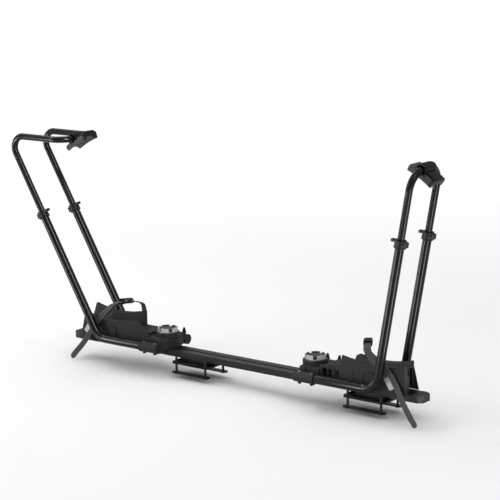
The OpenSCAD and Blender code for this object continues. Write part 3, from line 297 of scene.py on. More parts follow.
@dataclass(frozen=True)
class PowderCoat(Finish):
    """Powder coat on steel: a hard gloss, bent a little by orange peel and dulled a little by dust."""

    peel_mm: float = 3.2
    peel_depth_mm: float = 0.3
    peel_bump: float = 0.03
    dust: str = "#1e1e1f"
    dust_mm: float = 55.0
    dust_most: float = 0.3
    dust_edges: float = 0.25
    dust_rough: tuple[float, float] = (-0.05, 0.09)
    coat: float = 0.15
    coat_rough: float = 0.12
    shine: float = 0.3

    def dress(self, tree: bpy.types.NodeTree, shader: bpy.types.Node) -> None:
        """Adds the orange peel, the dust and the clear gloss.

        Args:
            tree: Node tree of the material.
            shader: Its principled shader.
        """
        coords = add(tree, "ShaderNodeTexCoord").outputs["Object"]
        normal, edge = self.edges(tree)
        peel = add(tree, "ShaderNodeTexNoise", None,
                   {"Vector": coords, "Scale": per_mm(self.peel_mm), "Detail": 1.0})
        film = add(tree, "ShaderNodeTexNoise", None,
                   {"Vector": coords, "Scale": per_mm(self.dust_mm), "Detail": 6.0, "Roughness": 0.65})
        thin = add(tree, "ShaderNodeMapRange", None,
                   {"Value": film.outputs[0], "From Min": 0.45, "From Max": 0.9, "To Max": self.dust_most})
        both = add(tree, "ShaderNodeMath", {"operation": "MULTIPLY_ADD", "use_clamp": True},
                   {0: edge, 1: self.dust_edges, 2: thin.outputs[0]})
        base = add(tree, "ShaderNodeMix", {"data_type": "RGBA"},
                   {0: both.outputs[0], 6: linear(self.colour), 7: linear(self.dust)})
        rough = add(tree, "ShaderNodeMapRange", None,
                    {"Value": film.outputs[0], "To Min": self.rough + self.dust_rough[0],
                     "To Max": self.rough + self.dust_rough[1]})
        bump = add(tree, "ShaderNodeBump", None,
                   {"Strength": self.peel_bump, "Distance": self.peel_depth_mm * MM,
                    "Height": peel.outputs[0], "Normal": normal})
        feed(tree, shader, {"Base Color": base.outputs[2], "Roughness": rough.outputs[0],
                            "Normal": bump.outputs[0], "Specular IOR Level": self.shine,
                            "Coat Weight": self.coat, "Coat Roughness": self.coat_rough})


@dataclass(frozen=True)
class AnodisedExtrusion(Finish):
    """Black anodised aluminium: a satin metal with the long die lines of its extrusion."""

    line_mm: float = 1.6
    line_length_mm: float = 700.0
    line_depth_mm: float = 0.1
    line_bump: float = 0.12
    line_tones: tuple[float, float] = (0.7, 1.5)
    line_rough: float = 0.1
    # Paler colour and its amount on the edges: wear, and a painted edge highlight
    wear_and_highlight_colour: str = "#6e7073"
    wear_and_highlight: float = 0.5
    metal: float = 0.75

    def dress(self, tree: bpy.types.NodeTree, shader: bpy.types.Node) -> None:
        """Adds die lines along X to the tone, the roughness and the surface.

        Args:
            tree: Node tree of the material.
            shader: Its principled shader.
        """
        coords = add(tree, "ShaderNodeTexCoord").outputs["Object"]
        normal, edge = self.edges(tree)
        scale = (per_mm(self.line_length_mm), per_mm(self.line_mm), per_mm(self.line_mm))
        drawn = add(tree, "ShaderNodeMapping", None, {"Vector": coords, "Scale": scale})
        lines = add(tree, "ShaderNodeTexNoise", None,
                    {"Vector": drawn.outputs[0], "Scale": 1.0, "Detail": 4.0, "Roughness": 0.7})
        dark, pale = (shade(self.colour, factor) for factor in self.line_tones)
        tone = add(tree, "ShaderNodeMix", {"data_type": "RGBA"}, {0: lines.outputs[0], 6: dark, 7: pale})
        # Painted edge highlight, with wear: the edges are mixed towards a paler colour
        amount = add(tree, "ShaderNodeMath", {"operation": "MULTIPLY"}, {0: edge, 1: self.wear_and_highlight})
        base = add(tree, "ShaderNodeMix", {"data_type": "RGBA"},
                   {0: amount.outputs[0], 6: tone.outputs[2], 7: linear(self.wear_and_highlight_colour)})
        rough = add(tree, "ShaderNodeMapRange", None,
                    {"Value": lines.outputs[0], "To Min": self.rough - self.line_rough,
                     "To Max": self.rough + self.line_rough})
        bump = add(tree, "ShaderNodeBump", None,
                   {"Strength": self.line_bump, "Distance": self.line_depth_mm * MM,
                    "Height": lines.outputs[0], "Normal": normal})
        feed(tree, shader, {"Base Color": base.outputs[2], "Roughness": rough.outputs[0],
                            "Normal": bump.outputs[0], "Metallic": self.metal})


@dataclass(frozen=True)
class PlatedSteel(Finish):
    """Plated or blackened steel fasteners: a soft metal shine, with thread where it is asked for."""

    thread_mm: float = 0.0
    thread_bump: float = 0.5
    cloud_mm: float = 6.0
    cloud_dark: float = 0.7
    cloud_bump: float = 0.05
    cloud_rough: tuple[float, float] = (-0.1, 0.12)
    depth_mm: float = 0.5
    # Paler colour and its amount on the edges: wear, and a painted edge highlight
    wear_and_highlight_colour: str = "#8f9194"
    wear_and_highlight: float = 0.4

    def dress(self, tree: bpy.types.NodeTree, shader: bpy.types.Node) -> None:
        """Adds the cloudy plating, and thread lines up Z.

        Args:
            tree: Node tree of the material.
            shader: Its principled shader.
        """
        coords = add(tree, "ShaderNodeTexCoord").outputs["Object"]
        normal, edge = self.edges(tree)
        cloud = add(tree, "ShaderNodeTexNoise", None,
                    {"Vector": coords, "Scale": per_mm(self.cloud_mm), "Detail": 4.0})
        tone = add(tree, "ShaderNodeMix", {"data_type": "RGBA"},
                   {0: cloud.outputs[0], 6: shade(self.colour, self.cloud_dark), 7: linear(self.colour)})
        # Painted edge highlight, with wear: the edges are mixed towards a paler colour
        amount = add(tree, "ShaderNodeMath", {"operation": "MULTIPLY"}, {0: edge, 1: self.wear_and_highlight})
        base = add(tree, "ShaderNodeMix", {"data_type": "RGBA"},
                   {0: amount.outputs[0], 6: tone.outputs[2], 7: linear(self.wear_and_highlight_colour)})
        rough = add(tree, "ShaderNodeMapRange", None,
                    {"Value": cloud.outputs[0], "To Min": self.rough + self.cloud_rough[0],
                     "To Max": self.rough + self.cloud_rough[1]})
        height, strength = cloud.outputs[0], self.cloud_bump
        if self.thread_mm:
            ridge = add(tree, "ShaderNodeTexWave", {"bands_direction": "Z", "wave_profile": "TRI"},
                        {"Vector": coords, "Scale": wave_per_mm(self.thread_mm)})
            height, strength = ridge.outputs[1], self.thread_bump
        bump = add(tree, "ShaderNodeBump", None,
                   {"Strength": strength, "Distance": self.depth_mm * MM, "Height": height,
                    "Normal": normal})
        feed(tree, shader, {"Base Color": base.outputs[2], "Roughness": rough.outputs[0],
                            "Normal": bump.outputs[0], "Metallic": 1.0})


@dataclass(frozen=True)
class MouldedRubber(Finish):
    """Moulded rubber: matt, with a fine pebble and a bloom that greys it unevenly."""

    bloom: str = "#6f6f70"
    bloom_mm: float = 26.0
    bloom_most: float = 0.35
    bloom_edges: float = 0.3
    pebble_mm: float = 1.6
    pebble_depth_mm: float = 0.25
    pebble_bump: float = 0.2

    def dress(self, tree: bpy.types.NodeTree, shader: bpy.types.Node) -> None:
        """Adds the pebble and the bloom.

        Args:
            tree: Node tree of the material.
            shader: Its principled shader.
        """
        coords = add(tree, "ShaderNodeTexCoord").outputs["Object"]
        normal, edge = self.edges(tree)
        pebble = add(tree, "ShaderNodeTexVoronoi", None,
                     {"Vector": coords, "Scale": per_mm(self.pebble_mm)})
        film = add(tree, "ShaderNodeTexNoise", None,
                   {"Vector": coords, "Scale": per_mm(self.bloom_mm), "Detail": 6.0, "Roughness": 0.7})
        spread = add(tree, "ShaderNodeMapRange", None,
                     {"Value": film.outputs[0], "From Min": 0.35, "From Max": 0.8,
                      "To Max": self.bloom_most})
        amount = add(tree, "ShaderNodeMath", {"operation": "MULTIPLY_ADD", "use_clamp": True},
                     {0: edge, 1: self.bloom_edges, 2: spread.outputs[0]})
        base = add(tree, "ShaderNodeMix", {"data_type": "RGBA"},
                   {0: amount.outputs[0], 6: linear(self.colour), 7: linear(self.bloom)})
        bump = add(tree, "ShaderNodeBump", None,
                   {"Strength": self.pebble_bump, "Distance": self.pebble_depth_mm * MM,
                    "Height": pebble.outputs[0], "Normal": normal})
        feed(tree, shader, {"Base Color": base.outputs[2], "Normal": bump.outputs[0]})


@dataclass(frozen=True)
class PolyesterWebbing(Finish):
    """Woven polyester strap: ribs across it, warp cords along it, and two stitched lines near its edges."""

    rib_mm: float = 2.4
    cord_mm: float = 2.2
    weave_depth_mm: float = 0.4
    weave_bump: float = 0.5
    stitch_mm: float = 5.0
    stitch_share: float = 0.68
    stitch_inset_mm: float = 2.6
    stitch_half_mm: float = 0.45
    thread: str = "#5c5c5e"
    width_mm: float = 20.0
    pale: str = "#404042"
    sheen: float = 0.15

    def dress(self, tree: bpy.types.NodeTree, shader: bpy.types.Node) -> None:
        """Adds the weave on the strap's own UV map, in metres. It is drawn coarser than the real one.

        Args:
            tree: Node tree of the material.
            shader: Its principled shader.
        """
        uv = add(tree, "ShaderNodeUVMap", {"uv_map": "weave"}).outputs[0]
        ribs = add(tree, "ShaderNodeTexWave", {"bands_direction": "Y"},
                   {"Vector": uv, "Scale": wave_per_mm(self.rib_mm), "Distortion": 0.6})
        cords = add(tree, "ShaderNodeTexWave", {"bands_direction": "X"},
                    {"Vector": uv, "Scale": wave_per_mm(self.cord_mm), "Distortion": 0.3})
        weave = add(tree, "ShaderNodeMath", {"operation": "MULTIPLY"},
                    {0: ribs.outputs[1], 1: cords.outputs[1]})
        place = add(tree, "ShaderNodeSeparateXYZ", None, {0: uv})
        middle = add(tree, "ShaderNodeMath", {"operation": "SUBTRACT"},
                     {0: place.outputs["X"], 1: self.width_mm / 2 * MM})
        across = add(tree, "ShaderNodeMath", {"operation": "ABSOLUTE"}, {0: middle.outputs[0]})
        line = add(tree, "ShaderNodeMath", {"operation": "COMPARE"},
                   {0: across.outputs[0], 1: (self.width_mm / 2 - self.stitch_inset_mm) * MM,
                    2: self.stitch_half_mm * MM})
        run = add(tree, "ShaderNodeMath", {"operation": "MODULO"},
                  {0: place.outputs["Y"], 1: self.stitch_mm * MM})
        dash = add(tree, "ShaderNodeMath", {"operation": "LESS_THAN"},
                   {0: run.outputs[0], 1: self.stitch_mm * self.stitch_share * MM})
        stitch = add(tree, "ShaderNodeMath", {"operation": "MULTIPLY"},
                     {0: line.outputs[0], 1: dash.outputs[0]})
        tone = add(tree, "ShaderNodeMix", {"data_type": "RGBA"},
                   {0: weave.outputs[0], 6: linear(self.colour), 7: linear(self.pale)})
        base = add(tree, "ShaderNodeMix", {"data_type": "RGBA"},
                   {0: stitch.outputs[0], 6: tone.outputs[2], 7: linear(self.thread)})
        height = add(tree, "ShaderNodeMath", {"operation": "ADD"},
                     {0: weave.outputs[0], 1: stitch.outputs[0]})
        bump = add(tree, "ShaderNodeBump", None,
                   {"Strength": self.weave_bump, "Distance": self.weave_depth_mm * MM,
                    "Height": height.outputs[0]})
        feed(tree, shader, {"Base Color": base.outputs[2], "Normal": bump.outputs[0],
                            "Sheen Weight": self.sheen})


@dataclass(frozen=True)
class ReflectiveTape(Finish):
    """Grey reflective tape: a close honeycomb of cells under a smooth film."""

    cell_mm: float = 3.0
    gap: str = "#5d5e60"
    seam_depth_mm: float = 0.2
    seam_bump: float = 0.2
    metal: float = 0.25

    def dress(self, tree: bpy.types.NodeTree, shader: bpy.types.Node) -> None:
        """Adds the cells and their seams.

        Args:
            tree: Node tree of the material.
            shader: Its principled shader.
        """
        coords = add(tree, "ShaderNodeTexCoord").outputs["Object"]
        cells = add(tree, "ShaderNodeTexVoronoi", {"feature": "DISTANCE_TO_EDGE"},
                    {"Vector": coords, "Scale": per_mm(self.cell_mm), "Randomness": 0.35})
        seam = add(tree, "ShaderNodeMapRange", None,
                   {"Value": cells.outputs[0], "From Min": 0.02, "From Max": 0.12})
        base = add(tree, "ShaderNodeMix", {"data_type": "RGBA"},
                   {0: seam.outputs[0], 6: linear(self.gap), 7: linear(self.colour)})
        bump = add(tree, "ShaderNodeBump", None,
                   {"Strength": self.seam_bump, "Distance": self.seam_depth_mm * MM,
                    "Height": seam.outputs[0]})
        feed(tree, shader, {"Base Color": base.outputs[2], "Normal": bump.outputs[0],
                            "Metallic": self.metal})


@dataclass(frozen=True)
class PaintedFloor(Finish):
    """Pale painted studio floor: matt, with a very faint cloud, and plain white far from the object."""

    near_mm: float = 900.0
    far_mm: float = 3600.0
    cloud_mm: float = 900.0
    cloud_dark: float = 0.985

    def dress(self, tree: bpy.types.NodeTree, shader: bpy.types.Node) -> None:
        """Adds the faint cloud, and a fade to white for rays that see the floor as a background.

        Args:
            tree: Node tree of the material.
            shader: Its principled shader.
        """
        coords = add(tree, "ShaderNodeTexCoord").outputs["Object"]
        cloud = add(tree, "ShaderNodeTexNoise", None,
                    {"Vector": coords, "Scale": per_mm(self.cloud_mm), "Detail": 3.0})
        base = add(tree, "ShaderNodeMix", {"data_type": "RGBA"},
                   {0: cloud.outputs[0], 6: shade(self.colour, self.cloud_dark), 7: linear(self.colour)})
        feed(tree, shader, {"Base Color": base.outputs[2], "Specular IOR Level": 0.0})
        away = add(tree, "ShaderNodeVectorMath", {"operation": "LENGTH"}, {0: coords})
        fade = add(tree, "ShaderNodeMapRange", {"interpolation_type": "SMOOTHSTEP"},
                   {"Value": away.outputs["Value"], "From Min": self.near_mm * MM,
                    "From Max": self.far_mm * MM})
        path = add(tree, "ShaderNodeLightPath")
        direct = add(tree, "ShaderNodeMath", {"operation": "MAXIMUM"},
                     {0: path.outputs["Is Camera Ray"], 1: path.outputs["Is Glossy Ray"]})
        seen = add(tree, "ShaderNodeMath", {"operation": "MAXIMUM"},
                   {0: direct.outputs[0], 1: path.outputs["Is Transmission Ray"]})
        amount = add(tree, "ShaderNodeMath", {"operation": "MULTIPLY"},
                     {0: fade.outputs[0], 1: seen.outputs[0]})
        white = add(tree, "ShaderNodeEmission", None, {"Color": linear("#ffffff"), "Strength": 1.0})
        both = add(tree, "ShaderNodeMixShader", None,
                   {0: amount.outputs[0], 1: shader.outputs[0], 2: white.outputs[0]})
        feed(tree, tree.nodes["Material Output"], {"Surface": both.outputs[0]})


TUBE_COAT = PowderCoat("powder_coated_steel_gloss_black", "#0a0a0b", 0.2, coat=0.12, shine=0.15)
CLAMP_COAT = PowderCoat("powder_coated_steel_satin_black", "#080808", 0.34, coat=0.03, peel_mm=2.2,
                        shine=0.1)
RAIL_ANODISED = AnodisedExtrusion("black_anodised_aluminium_extruded", "#222324", 0.4)
TRAY_PLASTIC = MouldedPlastic("glass_filled_polyamide_moulded_grey", "#242426", 0.6, 0.9, shine=0.15)
BLACK_PLASTIC = MouldedPlastic("polyamide_moulded_black", "#111113", 0.46, 0.8, wear_and_highlight_colour="#404042", wear_and_highlight=0.4,
                               shine=0.18)
CAP_PLASTIC = MouldedPlastic("polypropylene_moulded_charcoal", "#232325", 0.58, 1.2, wear_and_highlight_colour="#4c4c4e")
KNOB_PLASTIC = TwoToneMoulding("abs_moulded_silver_grey", "#b4b6b8", 0.42, 0.8, wear_and_highlight_colour="#d0d2d4", shine=0.5,
                               foot_z=0.0738, inner_r=0.0292, axis_x=0.3)
INSERT_PLASTIC = MouldedPlastic("abs_moulded_dark_insert", "#2a2b2d", 0.5, 0.5)
BLACK_STEEL = PlatedSteel("steel_black_oxide_rolled", "#2b2b2d", 0.42, 0.4, thread_mm=1.5)
ZINC_STEEL = PlatedSteel("steel_zinc_plated", "#a3a6aa", 0.34, 0.4)
PAD_RUBBER = MouldedRubber("rubber_moulded_grey", "#3b3b3c", 0.82, 1.6)
SEAT_RUBBER = MouldedRubber("rubber_moulded_black", "#161616", 0.86, 0.8, bloom="#3c3c3c")
WEBBING = PolyesterWebbing("polyester_webbing_woven", "#1d1d1e", 0.82)
PATCH_TAPE = ReflectiveTape("reflective_tape_laminated", "#a9abad", 0.42)
FLOOR_PAINT = PaintedFloor("floor_paint_pale", "#f4f4f5", 0.9)


def dress_node(node: str, finish: Finish) -> None:
    """Gives a CAD node a finish.

    Args:
        node: Name of the node.
        finish: Its finish.
    """
    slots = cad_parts[node].material_slots
    for slot in slots:
        slot.material = finish.material()
    LOG.info("node %s: %s", node, finish.name)


def publish(name: str, bm: bmesh.types.BMesh, finish: Finish, body: str,
            replaces: Sequence[str] = ()) -> bpy.types.Object:
    """Makes a finished mesh into a piece that rides on a body.

    Args:
        name: Name of the piece.
        bm: Its mesh in the shared frame, which is freed.
        finish: Its finish.
        body: CAD body that it moves with.
        replaces: CAD nodes that it stands for.

    Returns:
        The new object.
    """
    mesh = bpy.data.meshes.new(name)
    bm.to_mesh(mesh)
    bm.free()
    piece = bpy.data.objects.new(name, mesh)
    bpy.context.scene.collection.objects.link(piece)
    mesh.materials.append(finish.material())
    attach(piece, body)
    if replaces:
        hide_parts(*replaces)
    LOG.info("piece %s on %s: %s", name, body, finish.name)
    return piece


def edges_of(verts: Sequence[bmesh.types.BMVert]) -> list[bmesh.types.BMEdge]:
    """Edges that touch any of some vertices."""
    return list({e for v in verts for e in v.link_edges})


def faces_of(verts: Sequence[bmesh.types.BMVert]) -> list[bmesh.types.BMFace]:
    """Faces that touch any of some vertices."""
    return list({f for v in verts for f in v.link_faces})


def ring(bm: bmesh.types.BMesh, centre: Vector, axis: Vector, radius: float, thick: float,
         steps: int = 48) -> None:
    """Adds a round bead, a small circle spun about an axis.

    Args:
        bm: Mesh that gets the bead.
        centre: Middle of the ring.
        axis: Unit vector along the ring's axis.
        radius: From the axis to the bead's middle.
        thick: Radius of the bead.
        steps: Number of steps round the ring.
    """
    side = axis.orthogonal().normalized()
    normal = axis.cross(side)
    turn = Matrix((side, axis, normal)).transposed().to_4x4()
    made = bmesh.ops.create_circle(bm, segments=12, radius=thick,
                                   matrix=Matrix.Translation(centre + side * radius) @ turn)
    bmesh.ops.spin(bm, geom=made["verts"] + edges_of(made["verts"]), cent=centre, axis=axis, angle=2 * pi,
                   steps=steps, use_merge=True)


def tidy(bm: bmesh.types.BMesh, smooth: bool = True) -> None:
    """Merges doubles, points the faces outwards and sets their shading.

    Args:
        bm: Mesh to tidy.
        smooth: Whether the faces are shaded smooth.
    """
    bmesh.ops.remove_doubles(bm, verts=bm.verts, dist=1e-6)
    bmesh.ops.recalc_face_normals(bm, faces=bm.faces)
    for face in bm.faces:
        face.smooth = smooth


def bevelled_bar(bm: bmesh.types.BMesh, size: Vector, place: Matrix, edge: float,
                 segments: int = 2) -> None:
    """Adds a bar with rounded edges.

    Args:
        bm: Mesh that gets the bar.
        size: Its length, width and height.
        place: Where its middle goes.
        edge: Radius of its edges.
        segments: Steps in each rounded edge.
    """
    made = bmesh.ops.create_cube(bm, size=1.0, matrix=place @ Matrix.Diagonal(size.to_4d()))
    bmesh.ops.bevel(bm, geom=edges_of(made["verts"]), offset=edge, segments=segments, profile=0.5,
                    affect="EDGES", material=-1)


# Sub-assemblies


@dataclass
class RailAssembly:
    """The rail, its end caps and the fasteners that hang the clamps from it."""

    body: str = "rail_body"
    half_length: float = 0.672
    height: float = 0.021
    flute: float = 0.0011
    flutes: tuple[tuple[float, float], ...] = ((0.003, 0.058), (0.009, 0.052), (0.013, 0.052))

    def build(self) -> None:
        """Dresses the rail and adds the moulded flutes of its end caps."""
        dress_node("rail", RAIL_ANODISED)
        dress_node("rail_t_bolts", ZINC_STEEL)
        dress_node("clamp_nuts", BLACK_STEEL)
        for end in End:
            dress_node(f"{end.value}_end_cap", CAP_PLASTIC)
            self.cap_flutes(end)

    def cap_flutes(self, end: End) -> None:
        """Adds the two raised lines across an end cap's top, and the lip where it meets the rail.

        Args:
            end: End of the rail.
        """
        bm = bmesh.new()
        for out, length in self.flutes:
            size = Vector((self.flute * 1.6, length, self.flute * 1.2))
            place = Vector((self.half_length + out, 0, self.height))
            bevelled_bar(bm, size, Matrix.Translation(place), self.flute * 0.4)
        bm.transform(end.turn())
        tidy(bm)
        publish(f"{end.value}_cap_flutes", bm, CAP_PLASTIC, self.body)


@dataclass
class RoofClamp:
    """One clamp under the rail: its plate, block, pad and jaw."""

    end: End
    x: float
    plate_top: float = -0.013
    bead_y: float = 0.0345
    bead_size: tuple[float, float, float] = (0.088, 0.009, 0.0024)
    bead_edge: float = 0.0011

    def build(self) -> None:
        """Dresses the clamp and adds the pressed beads of its plate."""
        name = self.end.value
        dress_node(f"{name}_clamp_plate", CLAMP_COAT)
        dress_node(f"{name}_seat_block", BLACK_PLASTIC)
        dress_node(f"{name}_seat_pad", SEAT_RUBBER)
        dress_node(f"{name}_jaw_bars", CLAMP_COAT)
        dress_node(f"{name}_jaw_bolts", BLACK_STEEL)
        self.pressed_beads()

    def pressed_beads(self) -> None:
        """Adds the two stiffening beads pressed along the plate, outside its block."""
        bm = bmesh.new()
        for way in (-1, 1):
            place = Matrix.Translation((self.x, way * self.bead_y, self.plate_top))
            bevelled_bar(bm, Vector(self.bead_size), place, self.bead_edge, 3)
        tidy(bm)
        publish(f"{self.end.value}_plate_beads", bm, CLAMP_COAT, "rail_body")


@dataclass
class Cradle:
    """A sliding cradle: the bracket on the rail, the wheel tray and the bent lower tubes."""

    end: End
    leg_y: float = 0.077
    tube_z: float = 0.031
    sleeve_end: float = 0.352
    sleeve_r: float = 0.017
    sleeve_lip_r: float = 0.0016
    sleeve_lip_in: float = 0.0022
    sleeve_lip_sink: float = 0.0002
    tray_x: tuple[float, float] = (0.434, 0.660)
    tray_half: float = 0.052
    tray_top: float = 0.114
    tray_dip: float = 0.016
    side_drop: float = 0.010
    end_skew: float = 0.032
    fin_x: float = 0.395
    lip_r: float = 0.0017
    lip_sink: float = 0.0011
    lip_gaps: tuple[float, float] = (0.002, 0.003)

    @property
    def body(self) -> str:
        """CAD body of the cradle."""
        return f"{self.end.value}_cradle"

    def build(self) -> None:
        """Dresses the cradle and adds its lips."""
        name = self.end.value
        for part in ("bracket", "tray"):
            dress_node(f"{name}_{part}", TRAY_PLASTIC)
        for side in Side:
            dress_node(f"{name}_tube_{side.value}", TUBE_COAT)
        dress_node(f"{name}_sleeve_bolts", ZINC_STEEL)
        dress_node(f"{name}_sleeve_nuts", BLACK_PLASTIC)
        self.sleeve_lips()
        self.tray_lips()

    def sleeve_lips(self) -> None:
        """Adds the rolled lip round the mouth of each tube sleeve."""
        bm = bmesh.new()
        for way in (-1, 1):
            centre = Vector((self.sleeve_end - self.sleeve_lip_in, way * self.leg_y, self.tube_z))
            ring(bm, centre, Vector((1, 0, 0)), self.sleeve_r - self.sleeve_lip_sink, self.sleeve_lip_r)
        bm.transform(self.end.turn())
        tidy(bm)
        publish(f"{self.end.value}_sleeve_lips", bm, BLACK_PLASTIC, self.body)

    def tray_lips(self) -> None:
        """Adds the rounded lip along the top of each wall, a small circle spun along the wall's dip."""
        bm = bmesh.new()
        half = (self.tray_x[1] - self.tray_x[0]) / 2
        dip_r = (half ** 2 + self.tray_dip ** 2) / (2 * self.tray_dip)
        inner = self.fin_x if self.end is End.REAR else self.tray_x[0]
        near, far = (-1, 0.0, 0.0, self.tray_x[0]), (1, self.end_skew, self.side_drop, inner)
        for way, shift, drop, inner_x in (near, far):
            middle = Vector((sum(self.tray_x) / 2 - shift, 0, self.tray_top - self.tray_dip - drop + dip_r))
            start = asin((inner_x + self.lip_gaps[0] - middle.x) / dip_r)
            stop = asin((half - self.lip_gaps[1]) / dip_r)
            y = way * (self.tray_half - self.lip_sink)
            from_middle = Vector((sin(start) * dip_r, y, -cos(start) * dip_r))
            turn = Matrix.Rotation(-start, 4, "Y") @ Matrix.Rotation(pi / 2, 4, "Y")
            made = bmesh.ops.create_circle(bm, cap_ends=True, segments=12, radius=self.lip_r,
                                           matrix=Matrix.Translation(middle + from_middle) @ turn)
            disc = made["verts"] + edges_of(made["verts"]) + faces_of(made["verts"])
            bmesh.ops.spin(bm, geom=disc, cent=middle, axis=Vector((0, -1, 0)), angle=stop - start,
                           steps=32)
        bm.transform(self.end.turn())
        tidy(bm)
        publish(f"{self.end.value}_tray_lips", bm, TRAY_PLASTIC, self.body)


@dataclass
class KnobDrive:
    """The clamp knob, its spindle and the shoe in the rail."""

    end: End
    x: float = 0.3
    dish_z: float = 0.0813
    dish_r: float = 0.0248
    dish_lift: float = 0.0002
    dish_steps: tuple[tuple[float, float], ...] = (
        (0.0012, 0.0008), (0.0030, -0.0004), (0.0100, 0.0), (0.0012, 0.0018), (0.0040, 0.0004))
    rib_count: int = 10
    rib_size: tuple[float, float, float] = (0.0090, 0.0016, 0.0014)
    rib_place: tuple[float, float, float] = (0.0155, 0, 0.0009)
    rib_edge: float = 0.0004

    @property
    def body(self) -> str:
        """CAD body of the knob."""
        return f"{self.end.value}_knob_body"

    def build(self) -> None:
        """Dresses the drive and adds the dark insert in the knob's dish."""
        name = self.end.value
        dress_node(f"{name}_knob", KNOB_PLASTIC)
        dress_node(f"{name}_spindle", ZINC_STEEL)
        dress_node(f"{name}_clamp_shoe", ZINC_STEEL)
        self.insert()

    def insert(self) -> None:
        """Adds a dished disc with a raised hub and radial ribs."""
        bm = bmesh.new()
        centre = Vector((self.x, 0, self.dish_z))
        disc = bmesh.ops.create_circle(bm, cap_ends=True, segments=64, radius=self.dish_r,
                                       matrix=Matrix.Translation(centre + Vector((0, 0, self.dish_lift))))
        faces = faces_of(disc["verts"])
        for inset, lift in self.dish_steps:
            bmesh.ops.inset_region(bm, faces=faces, thickness=inset, depth=0.0)
            bmesh.ops.translate(bm, verts=list({v for f in faces for v in f.verts}), vec=(0, 0, lift))
        for i in range(self.rib_count):
            turn = Matrix.Rotation(2 * pi * i / self.rib_count, 4, "Z")
            place = Matrix.Translation(centre) @ turn @ Matrix.Translation(self.rib_place)
            bevelled_bar(bm, Vector(self.rib_size), place, self.rib_edge)
        bm.transform(self.end.turn())
        tidy(bm)
        publish(f"{self.end.value}_knob_insert", bm, INSERT_PLASTIC, self.body)


@dataclass
class TelescopicHoop:
    """A hoop, the collars that it slides in and their release plates."""

    end: End
    corner_x: float
    lean: float
    leg_y: float = 0.077
    tube_z: float = 0.031
    leg_length: float = 0.466
    collar_r: float = 0.018
    collar_h: float = 0.024
    ring_r: float = 0.0014
    ring_rise: float = 0.0018
    ring_sink: float = 0.0002

    def leg(self, way: float) -> Matrix:
        """Frame of a leg in its end's own frame, with Z up the leg from its corner.

        Args:
            way: Sign of y of the leg.

        Returns:
            The leg's frame.
        """
        place = Matrix.Translation((self.corner_x, way * self.leg_y, self.tube_z))
        return place @ Matrix.Rotation(radians(self.lean), 4, "Y")

    def build(self) -> None:
        """Dresses the hoop and adds the ring of each collar."""
        name = self.end.value
        dress_node(f"{name}_hoop", TUBE_COAT)
        for side in Side:
            dress_node(f"{name}_collar_{side.value}", BLACK_PLASTIC)
            dress_node(f"{name}_release_{side.value}", BLACK_PLASTIC)
        self.collar_rings()

    def collar_rings(self) -> None:
        """Adds the moulded ring at the foot of each collar, clear of the release plate's travel."""
        bm = bmesh.new()
        foot = Vector((0, 0, self.leg_length - self.collar_h / 2 + self.ring_rise))
        for way in (-1, 1):
            before = set(bm.verts)
            ring(bm, foot, Vector((0, 0, 1)), self.collar_r - self.ring_sink, self.ring_r)
            bmesh.ops.transform(bm, matrix=self.leg(way), verts=[v for v in bm.verts if v not in before])
        bm.transform(self.end.turn())
        tidy(bm)
        name = self.end.value
        publish(f"{name}_collar_rings", bm, BLACK_PLASTIC, f"{name}_cradle")


@dataclass
class Saddle:
    """The saddle pad and its ribbed cap, which pivot on the hoop's cross tube."""

    end: End

    def build(self) -> None:
        """Dresses the saddle."""
        name = self.end.value
        dress_node(f"{name}_saddle_pad", PAD_RUBBER)
        dress_node(f"{name}_saddle_cap", BLACK_PLASTIC)


